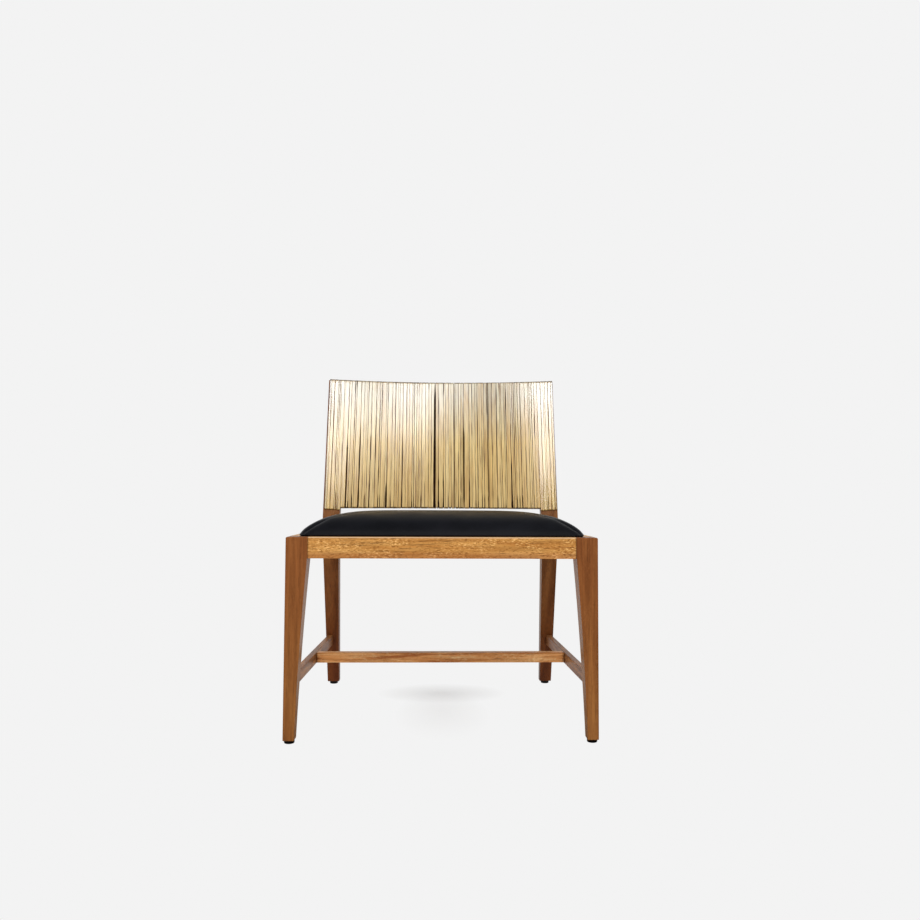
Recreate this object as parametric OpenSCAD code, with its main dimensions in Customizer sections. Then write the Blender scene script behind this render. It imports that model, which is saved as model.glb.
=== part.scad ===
// Dining chair: tapered hardwood frame, curved backrest wrapped in split-bamboo strips,
// and a crowned leather seat pad. The chair faces -Y, Z is up, and left means -X,
// as seen from the front. The origin is on the floor, in the middle of the chair's box.

/* [Seat frame] */
// Width across the front legs at the seat
seat_w = 600; // [560:5:640]
// Height of the seat frame's top edge above the floor
seat_top = 393; // [370:1:420]
// From the front legs' face to the rear legs' face at the frame's top edge
seat_d = 477; // [440:1:510]
// Height of the seat rails
rail_h = 41; // [36:1:48]
// Thickness of the seat rails
rail_t = 20; // [18:1:22]
// Step from the front legs' face back to the front rail
front_rail_step = 1; // [0.5:0.5:3]
// Step from the legs' outer faces in to the side rails
side_rail_step = 1.5; // [0.5:0.5:3]
// Step from the rear legs' face back to the rear rail
rear_rail_step = 1; // [0.5:0.5:3]

/* [Front legs] */
// Width of a front leg at the seat
front_leg_w = 41; // [38:1:48]
// Depth of a front leg at the seat
front_leg_d = 48; // [42:1:54]
// Width of a front leg at its foot
front_foot_w = 21; // [18:1:26]
// Depth of a front leg at its foot
front_foot_d = 30; // [26:1:34]
// How far each front foot stands outside the seat's width
front_feet_spread = 1; // [0:0.5:6]
// How far the tapered inner edge is hollowed
leg_hollow = 2; // [0.5:0.5:4]
// Rounding of the leg's top outer corner
leg_top_round = 3; // [2:0.5:5]

/* [Rear legs] */
// Width across the rear legs, from the seat to the top of the back
back_w = 584; // [550:2:600]
// How far each rear foot stands inside the back's width
rear_feet_draw = 11; // [2:1:20]
// Width of a rear leg at the backrest
post_w = 40; // [34:1:46]
// Depth of a rear leg at the seat
rear_leg_d = 44; // [42:1:50]
// Width of a rear leg at its foot
rear_foot_w = 28; // [24:1:34]
// Depth of a rear leg at its foot
rear_foot_d = 27; // [24:1:34]
// How far the rear feet stand behind the legs' face at the seat
rear_rake = 58; // [30:1:75]

/* [Backrest] */
// Backward lean of the backrest in degrees
back_lean = 15.7; // [10:0.1:20]
// Height of the backrest's lower edge above the floor
back_bottom = 441; // [436:1:460]
// Height of the backrest's top edge above the floor
back_top = 777; // [720:1:840]
// Hollow of the curved backrest, across its whole width
back_hollow = 50; // [35:1:60]
// Thickness of the curved rails and posts under the strips
back_t = 24; // [20:1:28]
// Height of the curved rails
back_rail_h = 44; // [36:1:60]
// Thickness of the curved panels in front of and behind the rails
panel_t = 6; // [4:1:7]
// How far a panel laps over each curved rail
panel_lap = 14; // [8:1:20]

/* [Bamboo strips] */
// Strips between the posts
strip_count = 68; // [60:1:80]
// Strips on each post
post_strip_count = 6; // [5:1:7]
// Step from the posts' outer faces in to the outermost strips
strip_edge_step = 1; // [0.5:0.5:2]
// Thickness of a strip
strip_t = 2.5; // [1.8:0.1:3.2]
// Narrowest gap between two strips
strip_gap = 0.35; // [0.25:0.05:0.6]
// Unevenness of the strips' widths, as a share of the mean
strip_spread = 0.3; // [0.05:0.05:0.4]
// How far the strips on the posts hang below the backrest's lower edge
post_strip_drop = 3; // [0:0.5:5]
// Rounding where a strip turns over an edge
strip_turn = 4; // [3:0.5:6]

/* [Stretchers] */
// Height of the stretchers' top edge above the floor
stretcher_top = 125; // [90:1:160]
// Height of a side stretcher
stretcher_h = 24; // [20:1:30]
// Thickness of a side stretcher
stretcher_t = 13; // [12:0.5:16]
// Step from the legs' outer faces in to the side stretchers
stretcher_step = 3.6; // [2:0.2:6]
// Height of the cross stretcher
cross_h = 22; // [18:1:26]
// Depth of the cross stretcher
cross_d = 20; // [16:1:24]
// From the front legs' face back to the cross stretcher
cross_y = 272; // [200:1:330]

/* [Seat pad] */
// Gap between the drop-in pad and the rails round it
pad_gap = 0.5; // [0.3:0.1:1]
// Gap from the pad back to the rear legs
pad_rear_gap = 3; // [2:0.5:6]
// How deep the pad drops into the frame
pad_sink = 14; // [12:1:18]
// How far the pad swells out over the rails
pad_swell = 2; // [1:0.5:4]
// Height of the pad's crown above the frame
pad_crown = 46; // [40:1:52]
// Height of the pad's widest line above the frame
pad_belly = 5; // [4:0.5:8]
// How far in from its edge the pad keeps rising
pad_shoulder = 70; // [60:1:100]
// Corner rounding of the pad
pad_corner = 26; // [18:1:36]
// How far the leather returns under the seat board
pad_return = 18; // [15:1:24]
// Thickness of the plywood seat board
board_t = 12; // [9:1:12]
// Thickness of the leather
leather_t = 1.2; // [1:0.1:1.6]

/* [Fittings] */
// Height of a foot glide
glide_h = 7; // [5:0.5:9]
// Diameter of a foot glide
glide_dia = 20; // [16:1:20]
// Length of a tenon on the seat rails
tenon_l = 18; // [12:1:18]
// Thickness of a tenon on the seat rails
tenon_t = 8; // [6:1:9]
// Shoulder above and below a tenon on the seat rails
tenon_shoulder = 6; // [4:1:8]
// Length of a stretcher's tenon
stub_l = 12; // [8:1:14]
// Length of the corner blocks along each rail
block_l = 70; // [64:1:80]
// Height of the corner blocks
block_h = 22; // [20:1:24]
// Width and height of the cleats that carry the pad between the blocks
cleat_s = 14; // [10:1:16]
// Diameter of the wood screws
screw_dia = 4; // [3.5:0.5:5]
// Clearance round tenons, screws and nails
fit_gap = 0.15; // [0.1:0.05:0.25]
// Clearance between the strips and what they are wrapped on
skin_gap = 0.2; // [0.15:0.05:0.3]

/* [Hidden] */

// Colours
leg_red = [0.50, 0.29, 0.15];
rail_gold = [0.72, 0.47, 0.24];
rear_brown = [0.38, 0.22, 0.12];
straw = [0.88, 0.77, 0.50];
stained_ply = [0.20, 0.14, 0.10];
block_pine = [0.82, 0.68, 0.48];
birch = [0.80, 0.66, 0.46];
foam_cream = [0.92, 0.88, 0.74];
black_leather = [0.07, 0.07, 0.09];
black_cloth = [0.10, 0.10, 0.10];
black_plastic = [0.06, 0.06, 0.06];
zinc = [0.75, 0.75, 0.72];

// Reach of cutting shapes past the wood, and easing of sawn corners
past = 60;
ease = 2;
glide_fn = 32;
screw_fn = 12;
curve_fn = 360;

rail_bottom = seat_top - rail_h;
front_half = seat_w / 2;
front_foot_half = front_half + front_feet_spread;
leg_inner = front_half - front_leg_w;
post_half = back_w / 2;
post_inner = post_half - post_w;
rear_foot_half = post_half - rear_feet_draw;

// The backrest is part of an upright tube that leans back with the posts. In the
// leaning frame x is across, n is square to the posts' face and v runs up them.
arc_r = (post_half * post_half + back_hollow * back_hollow) / (2 * back_hollow);
edge_angle = asin(post_half / arc_r);
inner_angle = asin(post_inner / arc_r);
arc_centre = -arc_r * cos(edge_angle);
inner_n = arc_r * cos(inner_angle) + arc_centre;
// The posts' face is the chord of that arc: it falls by post_slope for each mm outward
post_slope = inner_n / post_w;
post_angle = atan(post_slope);
post_depth = inner_n + back_t / cos(post_angle);

wrap_top = back_top - strip_t;
core_top = wrap_top - 2 * skin_gap;
wrap_bottom = back_bottom + strip_t;
core_bottom = wrap_bottom + 2 * skin_gap;

// Rearmost point: where the middle strip's back starts its turn over the top edge
strip_back_n = back_hollow + back_t + skin_gap + strip_t;
overall_d = level_y(back_top, strip_back_n) - strip_turn / tan((90 - back_lean) / 2) * sin(back_lean);

function lerp(a, b, k) = a + (b - a) * k;
function unit(v) = v / norm(v);
function cumulative(w, i) = i == 0 ? 0 : cumulative(w, i - 1) + w[i - 1];
function total(w) = cumulative(w, len(w));

// Y of a point n behind the posts' face plane at height z, above the seat
function level_y(z, n) = seat_d + (z - seat_top) * tan(back_lean) + n / cos(back_lean);
// Length up the posts of a point at height z and n behind their face plane
function level_v(z, n) = (z - seat_top + n * sin(back_lean)) / cos(back_lean);

// Edges of the legs below the seat, by height
function front_leg_outer(z) = lerp(front_foot_half, front_half, (z - glide_h) / (seat_top - glide_h));
function front_leg_back(z) =
    lerp(front_foot_d, front_leg_d, min(1, (z - glide_h) / (rail_bottom - glide_h)));
function rear_leg_outer(z) =
    lerp(rear_foot_half, post_half, min(1, (z - glide_h) / (seat_top - glide_h)));
function rear_leg_inner(z) =
    lerp(rear_foot_half - rear_foot_w, post_inner, min(1, (z - glide_h) / (back_bottom - glide_h)));
function rear_leg_front(z) = seat_d + rear_rake * (1 - z / seat_top);
function rear_leg_back(z) =
    rear_leg_front(z) + lerp(rear_foot_d, rear_leg_d, (z - glide_h) / (seat_top - glide_h));

// Outer faces of the side rails and side stretchers, by y
side_rail_rear = rear_leg_outer(rail_bottom) - side_rail_step;
function side_rail_outer(y) =
    lerp(front_half - side_rail_step, side_rail_rear, (y - front_leg_d) / (seat_d - front_leg_d));
function side_rail_inner(y) = side_rail_outer(y) - rail_t;
stretcher_bottom = stretcher_top - stretcher_h;
stretcher_mid = stretcher_top - stretcher_h / 2;
stretcher_y = [front_leg_back(stretcher_mid), rear_leg_front(stretcher_mid)];
function stretcher_outer(y) =
    lerp(front_leg_outer(stretcher_mid), rear_leg_outer(stretcher_mid),
        (y - stretcher_y[0]) / (stretcher_y[1] - stretcher_y[0])) - stretcher_step;
function stretcher_inner(y) = stretcher_outer(y) - stretcher_t;

// The arc that replaces corner b of an outline, with radius r
function corner_arc(a, b, c, r, n) =
    r <= 0 ? [b] :
    let (
        u = unit(a - b), w = unit(c - b), half = acos(u * w) / 2,
        p = b + u * r / tan(half), q = b + w * r / tan(half), m = b + unit(u + w) * r / sin(half),
        from = atan2(p.y - m.y, p.x - m.x), turn = atan2(q.y - m.y, q.x - m.x) - from,
        sweep = turn > 180 ? turn - 360 : turn < -180 ? turn + 360 : turn
    )
    [for (i = [0 : n]) m + r * [cos(from + sweep * i / n), sin(from + sweep * i / n)]];
function rounded(pts, radii, n = 4) =
    let (k = len(pts))
    [for (i = [0 : k - 1]) each corner_arc(pts[(i + k - 1) % k], pts[i], pts[(i + 1) % k], radii[i], n)];
// Points between a and b on a curve that bows to the left by sag
function bow(a, b, sag, n = 8) =
    let (d = b - a, left = unit([-d.y, d.x]))
    [for (i = [1 : n - 1]) a + d * i / n + left * sag * 4 * i / n * (1 - i / n)];

module placed() { translate([0, -overall_d / 2, 0]) children(); }
module on_side(s) { if (s < 0) mirror([1, 0, 0]) children(); else children(); }
module leaning() { translate([0, seat_d, seat_top]) rotate([-back_lean, 0, 0]) children(); }
// An outline in y and z pushed out along x, and one in x and z pushed out along y
module from_side(x0, x1) { translate([x0, 0, 0]) rotate([90, 0, 90]) linear_extrude(x1 - x0) children(); }
module from_front(y0, y1) { translate([0, y1, 0]) rotate([90, 0, 0]) linear_extrude(y1 - y0) children(); }
module box(x, y, z) { translate([x[0], y[0], z[0]]) cube([x[1] - x[0], y[1] - y[0], z[1] - z[0]]); }

// Tenons, drawn slack mm larger where they cut their mortises
front_tenon_y = front_rail_step + rail_t / 2;
rear_tenon_y = seat_d + rear_rail_step + rail_t / 2;
tenon_z = [rail_bottom + tenon_shoulder, seat_top - tenon_shoulder];
function grown(r, slack) = [r[0] - slack, r[1] + slack];
function about(c, w) = [c - w / 2, c + w / 2];

module front_rail_tenon(slack) {
    box([leg_inner - ease, leg_inner + tenon_l + slack],
        grown(about(front_tenon_y, tenon_t), slack), grown(tenon_z, slack));
}
module rear_rail_tenon(slack) {
    box([min(rear_leg_inner(rail_bottom), post_inner) - ease, post_inner + tenon_l + slack],
        grown(about(rear_tenon_y, tenon_t), slack), grown(tenon_z, slack));
}
module side_rail_front_tenon(slack) {
    box(grown(about(side_rail_outer(front_leg_d) - rail_t / 2, tenon_t), slack),
        [front_leg_d - tenon_l - slack, front_leg_d + ease], grown(tenon_z, slack));
}
module side_rail_rear_tenon(slack) {
    box(grown(about(side_rail_outer(seat_d) - rail_t / 2, tenon_t), slack),
        [seat_d - ease, seat_d + tenon_l + slack], grown(tenon_z, slack));
}
stub_t = stretcher_t / 2;
stub_z = about(stretcher_mid, stretcher_h * 0.6);
module stretcher_front_stub(slack) {
    y = stretcher_y[0];
    box(grown(about(stretcher_outer(y) - stretcher_t / 2, stub_t), slack),
        [y - stub_l - slack, y + ease], grown(stub_z, slack));
}
module stretcher_rear_stub(slack) {
    y = stretcher_y[1];
    box(grown(about(stretcher_outer(y) - stretcher_t / 2, stub_t), slack),
        [y - ease, y + stub_l + slack], grown(stub_z, slack));
}
cross_z = [stretcher_top - cross_h, stretcher_top];
cross_mid_y = cross_y + cross_d / 2;
module cross_stub(slack) {
    x = stretcher_inner(cross_mid_y);
    box([x - ease, x + stretcher_t / 2 + slack], grown(about(cross_mid_y, cross_d / 2), slack),
        grown(about(stretcher_top - cross_h / 2, cross_h / 2), slack));
}
// Curved tongue at the end of a backrest rail
module back_tongue(z0, z1, slack) {
    intersection() {
        leaning() translate([0, arc_centre, 0]) difference() {
            cylinder(r = arc_r + back_t * 2 / 3 + slack, h = 2 * back_top, center = true, $fn = curve_fn);
            cylinder(r = arc_r + back_t / 3 - slack, h = 3 * back_top, center = true, $fn = curve_fn);
        }
        box([post_inner - ease, post_inner + tenon_l + slack],
            [seat_d, overall_d], grown([z0 + tenon_shoulder, z1 - tenon_shoulder], slack));
    }
}
top_rail_z = [core_top - back_rail_h, core_top];
bottom_rail_z = [core_bottom, core_bottom + back_rail_h];

// Nails that hold the glides, at the middle of each foot
nail_r = 1.2;
nail_l = 15;
front_foot_at = [front_foot_half - front_foot_w / 2, front_foot_d / 2];
rear_foot_at = [rear_foot_half - rear_foot_w / 2, rear_leg_front(glide_h) + rear_foot_d / 2];
module nail_hole(at) {
    translate([at.x, at.y, glide_h - ease])
        cylinder(r = nail_r + fit_gap, h = nail_l + ease, $fn = screw_fn);
}

module front_leg() {
    inner_foot = [front_foot_half - front_foot_w, glide_h];
    inner_top = [leg_inner, rail_bottom];
    front_outline = concat(
        rounded([inner_foot, [front_foot_half, glide_h], [front_half, seat_top], [leg_inner, seat_top]],
            [0, ease, leg_top_round, 0]),
        [inner_top], bow(inner_top, inner_foot, leg_hollow));
    side_outline = rounded(
        [[0, glide_h], [front_foot_d, glide_h], [front_leg_d, rail_bottom], [front_leg_d, seat_top],
            [0, seat_top]],
        [ease, ease, 0, 0, ease]);
    difference() {
        intersection() {
            from_front(-past, front_leg_d + past) polygon(front_outline);
            from_side(0, front_half + past) polygon(side_outline);
        }
        front_rail_tenon(fit_gap);
        side_rail_front_tenon(fit_gap);
        stretcher_front_stub(fit_gap);
        nail_hole(front_foot_at);
        // the top is notched for the pad's corner
        box([leg_inner - ease, side_rail_inner(front_leg_d)], [front_rail_back, front_leg_d + ease],
            [support_z, seat_top + ease]);
    }
}

// Above the seat the post is pared to follow the curve of the back, from sloping shoulders
module post_paring() {
    slope = tan(post_angle);
    reach = post_w + past;
    back_n = back_t / cos(post_angle);
    low_v = level_v(seat_top + ease, 0);
    back_low_n = (rear_leg_back(rail_bottom) - level_y(rail_bottom, 0)) * cos(back_lean);
    back_low_v = level_v(rail_bottom, back_low_n);
    high_v = level_v(back_bottom - post_strip_drop - ease, 0);
    v_end = back_top;
    // in front of the pared face
    intersection() {
        translate([0, 0, low_v - past]) linear_extrude(v_end)
            polygon([[post_half, 0], [post_half - reach, slope * reach],
                [post_half - reach, -past], [post_half, -past]]);
        from_side(0, post_half + past)
            polygon([[-past, low_v - past * (high_v - low_v) / inner_n],
                [inner_n, high_v], [inner_n + past, high_v], [inner_n + past, v_end], [-past, v_end]]);
    }
    // behind it
    intersection() {
        translate([0, 0, low_v - past]) linear_extrude(v_end)
            polygon([[post_half + past, back_n - slope * past], [post_half - reach, back_n + slope * reach],
                [post_half - reach, back_n + reach], [post_half + past, back_n + reach]]);
        from_side(0, post_half + past)
            polygon([[0, high_v], [back_n, high_v], [back_low_n, back_low_v],
                [back_low_n + past, back_low_v], [back_low_n + past, v_end], [0, v_end]]);
    }
}
module rear_leg() {
    bend_r = 120;
    side_outline = rounded(
        [[rear_leg_front(glide_h), glide_h], [seat_d, seat_top], [level_y(core_top, 0), core_top],
            [level_y(core_top, post_depth), core_top], [seat_d + rear_leg_d, seat_top],
            [rear_leg_back(glide_h), glide_h]],
        [ease, rail_t, 0, 0, bend_r, ease]);
    front_outline = rounded(
        [[rear_leg_inner(glide_h), glide_h], [rear_foot_half, glide_h], [post_half, seat_top],
            [post_half, core_top], [post_inner, core_top], [post_inner, back_bottom]],
        [0, ease, 0, 0, 0, 0]);
    difference() {
        intersection() {
            from_side(0, post_half + past) polygon(side_outline);
            from_front(seat_d - past, overall_d + past) polygon(front_outline);
        }
        leaning() post_paring();
        side_rail_rear_tenon(fit_gap);
        rear_rail_tenon(fit_gap);
        stretcher_rear_stub(fit_gap);
        back_tongue(top_rail_z[0], top_rail_z[1], fit_gap);
        back_tongue(bottom_rail_z[0], bottom_rail_z[1], fit_gap);
        nail_hole(rear_foot_at);
    }
}

// A screw points along +Z, with the top of its head at the origin
head_r = screw_dia;
head_h = screw_dia / 2;
module screw(length) {
    point = screw_dia;
    cylinder(r1 = head_r, r2 = screw_dia / 2, h = head_h, $fn = screw_fn);
    cylinder(r = screw_dia / 2, h = length - point, $fn = screw_fn);
    translate([0, 0, length - point])
        cylinder(r1 = screw_dia / 2, r2 = screw_dia / 8, h = point, $fn = screw_fn);
}
module screw_hole(length) {
    cylinder(r = screw_dia / 2 + fit_gap, h = length + fit_gap, $fn = screw_fn);
    translate([0, 0, -past]) cylinder(r = head_r + 2 * fit_gap, h = past + head_h + fit_gap, $fn = screw_fn);
}

// Corner blocks: each is glued into a corner of the frame, round the leg, and screwed both ways.
// Offsets are from the leg's corner inside the frame, along the cross rail and the side rail.
support_z = seat_top - pad_sink;
cross_screw_off = block_l * 0.45;
side_screw_off = block_l * 0.62;
screw_bite = 14;
screw_z = support_z - block_h / 2;
screw_l = block_l * 0.3 + screw_bite;
front_corner = [leg_inner, front_leg_d];
rear_corner = [rear_leg_inner(seat_top), seat_d];
front_rail_back = front_rail_step + rail_t;
rear_rail_front = seat_d + rear_rail_step;
module wood_screw(kind, length) { if (kind == "hole") screw_hole(length); else screw(length); }
module side_block_screw(kind, y) {
    translate([side_rail_inner(y) + screw_bite - screw_l, y, screw_z])
        rotate([0, 90, 0]) wood_screw(kind, screw_l);
}
module front_block_screws(kind) {
    translate([front_corner.x - cross_screw_off, front_rail_back - screw_bite + screw_l, screw_z])
        rotate([90, 0, 0]) wood_screw(kind, screw_l);
    side_block_screw(kind, front_corner.y + side_screw_off);
}
module rear_block_screws(kind) {
    translate([rear_corner.x - cross_screw_off, rear_rail_front + screw_bite - screw_l, screw_z])
        rotate([-90, 0, 0]) wood_screw(kind, screw_l);
    side_block_screw(kind, rear_corner.y - side_screw_off);
}

// The drop-in pad lies between the rails. Its seat board is held by screws up through the blocks,
// just inside the leather's return.
pad_front = front_rail_back + pad_gap;
pad_rear = seat_d - pad_rear_gap;
board_bottom = support_z + leather_t + skin_gap;
seat_screw_l = block_h + leather_t + board_t * 0.6;
seat_screw_in = 20;
module seat_screw_pair(kind) {
    z = support_z - block_h;
    clear = pad_return + 2 * screw_dia;
    translate([front_corner.x - seat_screw_in, pad_front + clear, z]) wood_screw(kind, seat_screw_l);
    translate([rear_corner.x - seat_screw_in, pad_rear - clear, z]) wood_screw(kind, seat_screw_l);
}

module corner_block_screws() {
    for (s = [-1, 1]) on_side(s) {
        front_block_screws("screw");
        rear_block_screws("screw");
    }
}
module seat_screws() { for (s = [-1, 1]) on_side(s) seat_screw_pair("screw"); }

module front_block() {
    end_y = front_corner.y + block_l;
    difference() {
        translate([0, 0, support_z - block_h]) linear_extrude(block_h)
            polygon([[front_corner.x - block_l, front_rail_back],
                [front_corner.x - fit_gap, front_rail_back],
                [front_corner.x - fit_gap, front_corner.y + fit_gap],
                [side_rail_inner(front_corner.y), front_corner.y + fit_gap],
                [side_rail_inner(end_y), end_y], [side_rail_inner(end_y) - ease, end_y]]);
        front_block_screws("hole");
        seat_screw_pair("hole");
    }
}
module rear_block() {
    end_y = rear_corner.y - block_l;
    leg_face = rear_leg_inner(seat_top) - fit_gap;
    difference() {
        translate([0, 0, support_z - block_h]) linear_extrude(block_h)
            polygon([[rear_corner.x - block_l, rear_rail_front], [leg_face, rear_rail_front],
                [leg_face, rear_corner.y - fit_gap],
                [side_rail_inner(rear_corner.y), rear_corner.y - fit_gap],
                [side_rail_inner(end_y), end_y], [side_rail_inner(end_y) - ease, end_y]]);
        rear_block_screws("hole");
        seat_screw_pair("hole");
    }
}

// Cleats glued to the rails between the blocks
module cross_cleat(half, y0) { box([-half, half], [y0, y0 + cleat_s], [support_z - cleat_s, support_z]); }
module side_cleat() {
    y0 = front_corner.y + block_l + ease;
    y1 = rear_corner.y - block_l - ease;
    translate([0, 0, support_z - cleat_s]) linear_extrude(cleat_s)
        polygon([[side_rail_inner(y0), y0], [side_rail_inner(y1), y1],
            [side_rail_inner(y1) - cleat_s, y1], [side_rail_inner(y0) - cleat_s, y0]]);
}

module front_rail() {
    difference() {
        union() {
            box([-leg_inner, leg_inner], [front_rail_step, front_rail_back], [rail_bottom, seat_top]);
            for (s = [-1, 1]) on_side(s) front_rail_tenon(0);
        }
        for (s = [-1, 1]) on_side(s) front_block_screws("hole");
    }
}
module rear_rail() {
    z0 = rail_bottom;
    z1 = seat_top;
    half = [[rear_leg_inner(z0), z0], [rear_leg_inner(z1), z1]];
    difference() {
        union() {
            from_front(rear_rail_front, rear_rail_front + rail_t)
                polygon([half[0], half[1], [-half[1].x, z1], [-half[0].x, z0]]);
            for (s = [-1, 1]) on_side(s) rear_rail_tenon(0);
        }
        for (s = [-1, 1]) on_side(s) rear_block_screws("hole");
    }
}
module side_rail() {
    y0 = front_leg_d;
    y1 = rear_leg_front(rail_bottom);
    difference() {
        union() {
            intersection() {
                linear_extrude(seat_top + past)
                    polygon([[side_rail_inner(y0), y0], [side_rail_outer(y0), y0],
                        [side_rail_outer(y1), y1], [side_rail_inner(y1), y1]]);
                from_side(0, front_half + past)
                    polygon([[y0, rail_bottom], [y1, rail_bottom], [seat_d, seat_top], [y0, seat_top]]);
            }
            side_rail_front_tenon(0);
            side_rail_rear_tenon(0);
        }
        front_block_screws("hole");
        rear_block_screws("hole");
    }
}
module side_stretcher() {
    y0 = front_leg_back(stretcher_bottom);
    y1 = front_leg_back(stretcher_top);
    y2 = rear_leg_front(stretcher_top);
    y3 = rear_leg_front(stretcher_bottom);
    difference() {
        union() {
            intersection() {
                linear_extrude(stretcher_top + past)
                    polygon([[stretcher_inner(y0), y0], [stretcher_outer(y0), y0],
                        [stretcher_outer(y3), y3], [stretcher_inner(y3), y3]]);
                from_side(0, front_half + past)
                    polygon([[y0, stretcher_bottom], [y3, stretcher_bottom],
                        [y2, stretcher_top], [y1, stretcher_top]]);
            }
            stretcher_front_stub(0);
            stretcher_rear_stub(0);
        }
        cross_stub(fit_gap);
    }
}
module cross_stretcher() {
    y0 = cross_y;
    y1 = cross_y + cross_d;
    end = [[stretcher_inner(y0), y0], [stretcher_inner(y1), y1]];
    translate([0, 0, cross_z[0]]) linear_extrude(cross_h)
        polygon([end[0], end[1], [-end[1].x, y1], [-end[0].x, y0]]);
    for (s = [-1, 1]) on_side(s) cross_stub(0);
}

// Curved sheet of the backrest between two radii and two heights, as wide as the posts leave
module curved_sheet(r0, r1, z) {
    intersection() {
        leaning() translate([0, arc_centre, 0]) difference() {
            cylinder(r = r1, h = 2 * back_top, center = true, $fn = curve_fn);
            cylinder(r = r0, h = 3 * back_top, center = true, $fn = curve_fn);
        }
        box([-post_inner, post_inner], [seat_d, overall_d], z);
    }
}
// Curved rail with a rabbet for each panel, between the heights lap
module back_rail(z, lap) {
    back_r = arc_r + back_t;
    difference() {
        curved_sheet(arc_r, back_r, z);
        curved_sheet(arc_r - ease, arc_r + panel_t + skin_gap, lap);
        curved_sheet(back_r - panel_t - skin_gap, back_r + ease, lap);
    }
    for (s = [-1, 1]) on_side(s) back_tongue(z[0], z[1], 0);
}
module back_top_rail() {
    back_rail(top_rail_z, [top_rail_z[0] - ease, top_rail_z[0] + panel_lap + skin_gap]);
}
module back_bottom_rail() {
    back_rail(bottom_rail_z, [bottom_rail_z[1] - panel_lap - skin_gap, bottom_rail_z[1] + ease]);
}
module back_panel(r) {
    curved_sheet(r, r + panel_t, [bottom_rail_z[1] - panel_lap, top_rail_z[0] + panel_lap]);
}

// Section of a wrapped strip in r and v at angle phi, level at its lower and upper end
function plain_outline(phi, r0, r1, low, high) =
    let (n0 = arc_centre + r0 * cos(phi), n1 = arc_centre + r1 * cos(phi))
    [[r0, level_v(low, n0)], [r1, level_v(low, n1)], [r1, level_v(high, n1)], [r0, level_v(high, n0)]];
// One wrap, width wide. closed: it goes all the way round. Otherwise it is open below, at height low.
module wrap(phi, r, t, clear, width, low, closed) {
    turn = closed ? strip_turn : 0;
    outer = plain_outline(phi, r[0] - t - clear, r[1] + t + clear, low, back_top);
    translate([0, arc_centre, 0]) rotate([0, 0, -phi]) translate([-width / 2, 0, 0]) rotate([90, 0, 90])
        linear_extrude(width) difference() {
            polygon(rounded(outer, [turn, turn, strip_turn, strip_turn], 2));
            polygon(plain_outline(phi, r[0] - clear, r[1] + clear, closed ? wrap_bottom : low - past, wrap_top));
        }
}
// Uneven strip widths that fill a run, each with its gap
function strip_pitches(count, run, seed) =
    let (w = rands(1 - strip_spread, 1 + strip_spread, count, seed), k = run / total(w)) w * k;

module bamboo_strips_back() {
    run = arc_r * inner_angle * PI / 90;
    pitches = strip_pitches(strip_count, run, 7);
    gaps = rands(1, 3, strip_count, 11);
    difference() {
        leaning() for (i = [0 : strip_count - 1]) {
            middle = cumulative(pitches, i) + pitches[i] / 2 - run / 2;
            wrap(middle / arc_r * 180 / PI, [arc_r, arc_r + back_t], strip_t, skin_gap,
                pitches[i] - gaps[i] * strip_gap, back_bottom, true);
        }
        // the end strips are cut short beside the posts, which go on down to the seat
        for (s = [-1, 1]) on_side(s)
            box([post_inner - skin_gap, post_half], [seat_d, overall_d], [seat_top, core_bottom]);
    }
}

// Side of a strip on a post, at share k of the way out, d behind the post's face. The innermost
// side leans out as the arc's radius does, beside the last strip of the back, and the outermost
// runs straight back along the post's outer face, so these strips narrow towards the rear.
function post_strip_side(k, d) =
    let (x = lerp(post_inner, post_half - strip_edge_step, k))
    [x + (1 - k) * tan(inner_angle) * d, post_slope * (post_half - x) + d];
module post_strip(k0, k1, low) {
    stretch = 1 / cos(post_angle);
    r = inner_n - arc_centre;
    shear = [[1, 0, 0, 0], [-post_slope, 1, 0, post_slope * post_inner],
        [-post_slope * tan(back_lean), 0, 1, post_slope * tan(back_lean) * post_inner]];
    reach = [-2 * strip_t, post_depth + 2 * strip_t];
    side = [for (d = reach) post_strip_side(k0, d) + [strip_gap, 0],
        for (d = [reach[1], reach[0]]) post_strip_side(k1, d) - [strip_gap, 0]];
    intersection() {
        multmatrix(shear) translate([post_half, 0, 0])
            wrap(0, [r, r + back_t * stretch], strip_t * stretch, skin_gap * stretch, 4 * post_w, low, false);
        linear_extrude(back_top) polygon(side);
    }
}
module bamboo_strips_post(seed) {
    pitches = strip_pitches(post_strip_count, 1, seed);
    leaning() for (i = [0 : post_strip_count - 1]) {
        k = cumulative(pitches, i);
        post_strip(k, k + pitches[i], back_bottom - post_strip_drop * (1 - i / post_strip_count));
    }
}

// Seat pad. Its plan is a rounded trapezium, and its rings are that plan drawn in to a share k.
pad_mid_y = (pad_front + pad_rear) / 2;
pad_front_half = side_rail_inner(pad_front) - pad_gap;
pad_rear_half = side_rail_inner(pad_rear) - pad_gap;
pad_arc_steps = 4;
pad_side_steps = 6;
function pad_plan(inset) =
    let (
        yf = pad_front + inset, yr = pad_rear - inset,
        xf = pad_front_half - inset, xr = pad_rear_half - inset,
        r = max(pad_corner - inset, ease)
    )
    rounded([[-xf, yf], [xf, yf], [xr, yr], [-xr, yr]], [r, r, r, r], pad_arc_steps);
// The plan with points added along its straight sides
function pad_loop(inset) =
    let (a = pad_plan(inset), k = len(a), m = pad_arc_steps + 1)
    [for (i = [0 : k - 1])
        let (next = a[(i + 1) % k], steps = (i + 1) % m == 0 ? pad_side_steps : 1)
        for (j = [0 : steps - 1]) lerp(a[i], next, j / steps)];
function pad_ring(inset, k, z) = [for (p = pad_loop(inset)) [p.x * k, lerp(pad_mid_y, p.y, k), z]];
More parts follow.
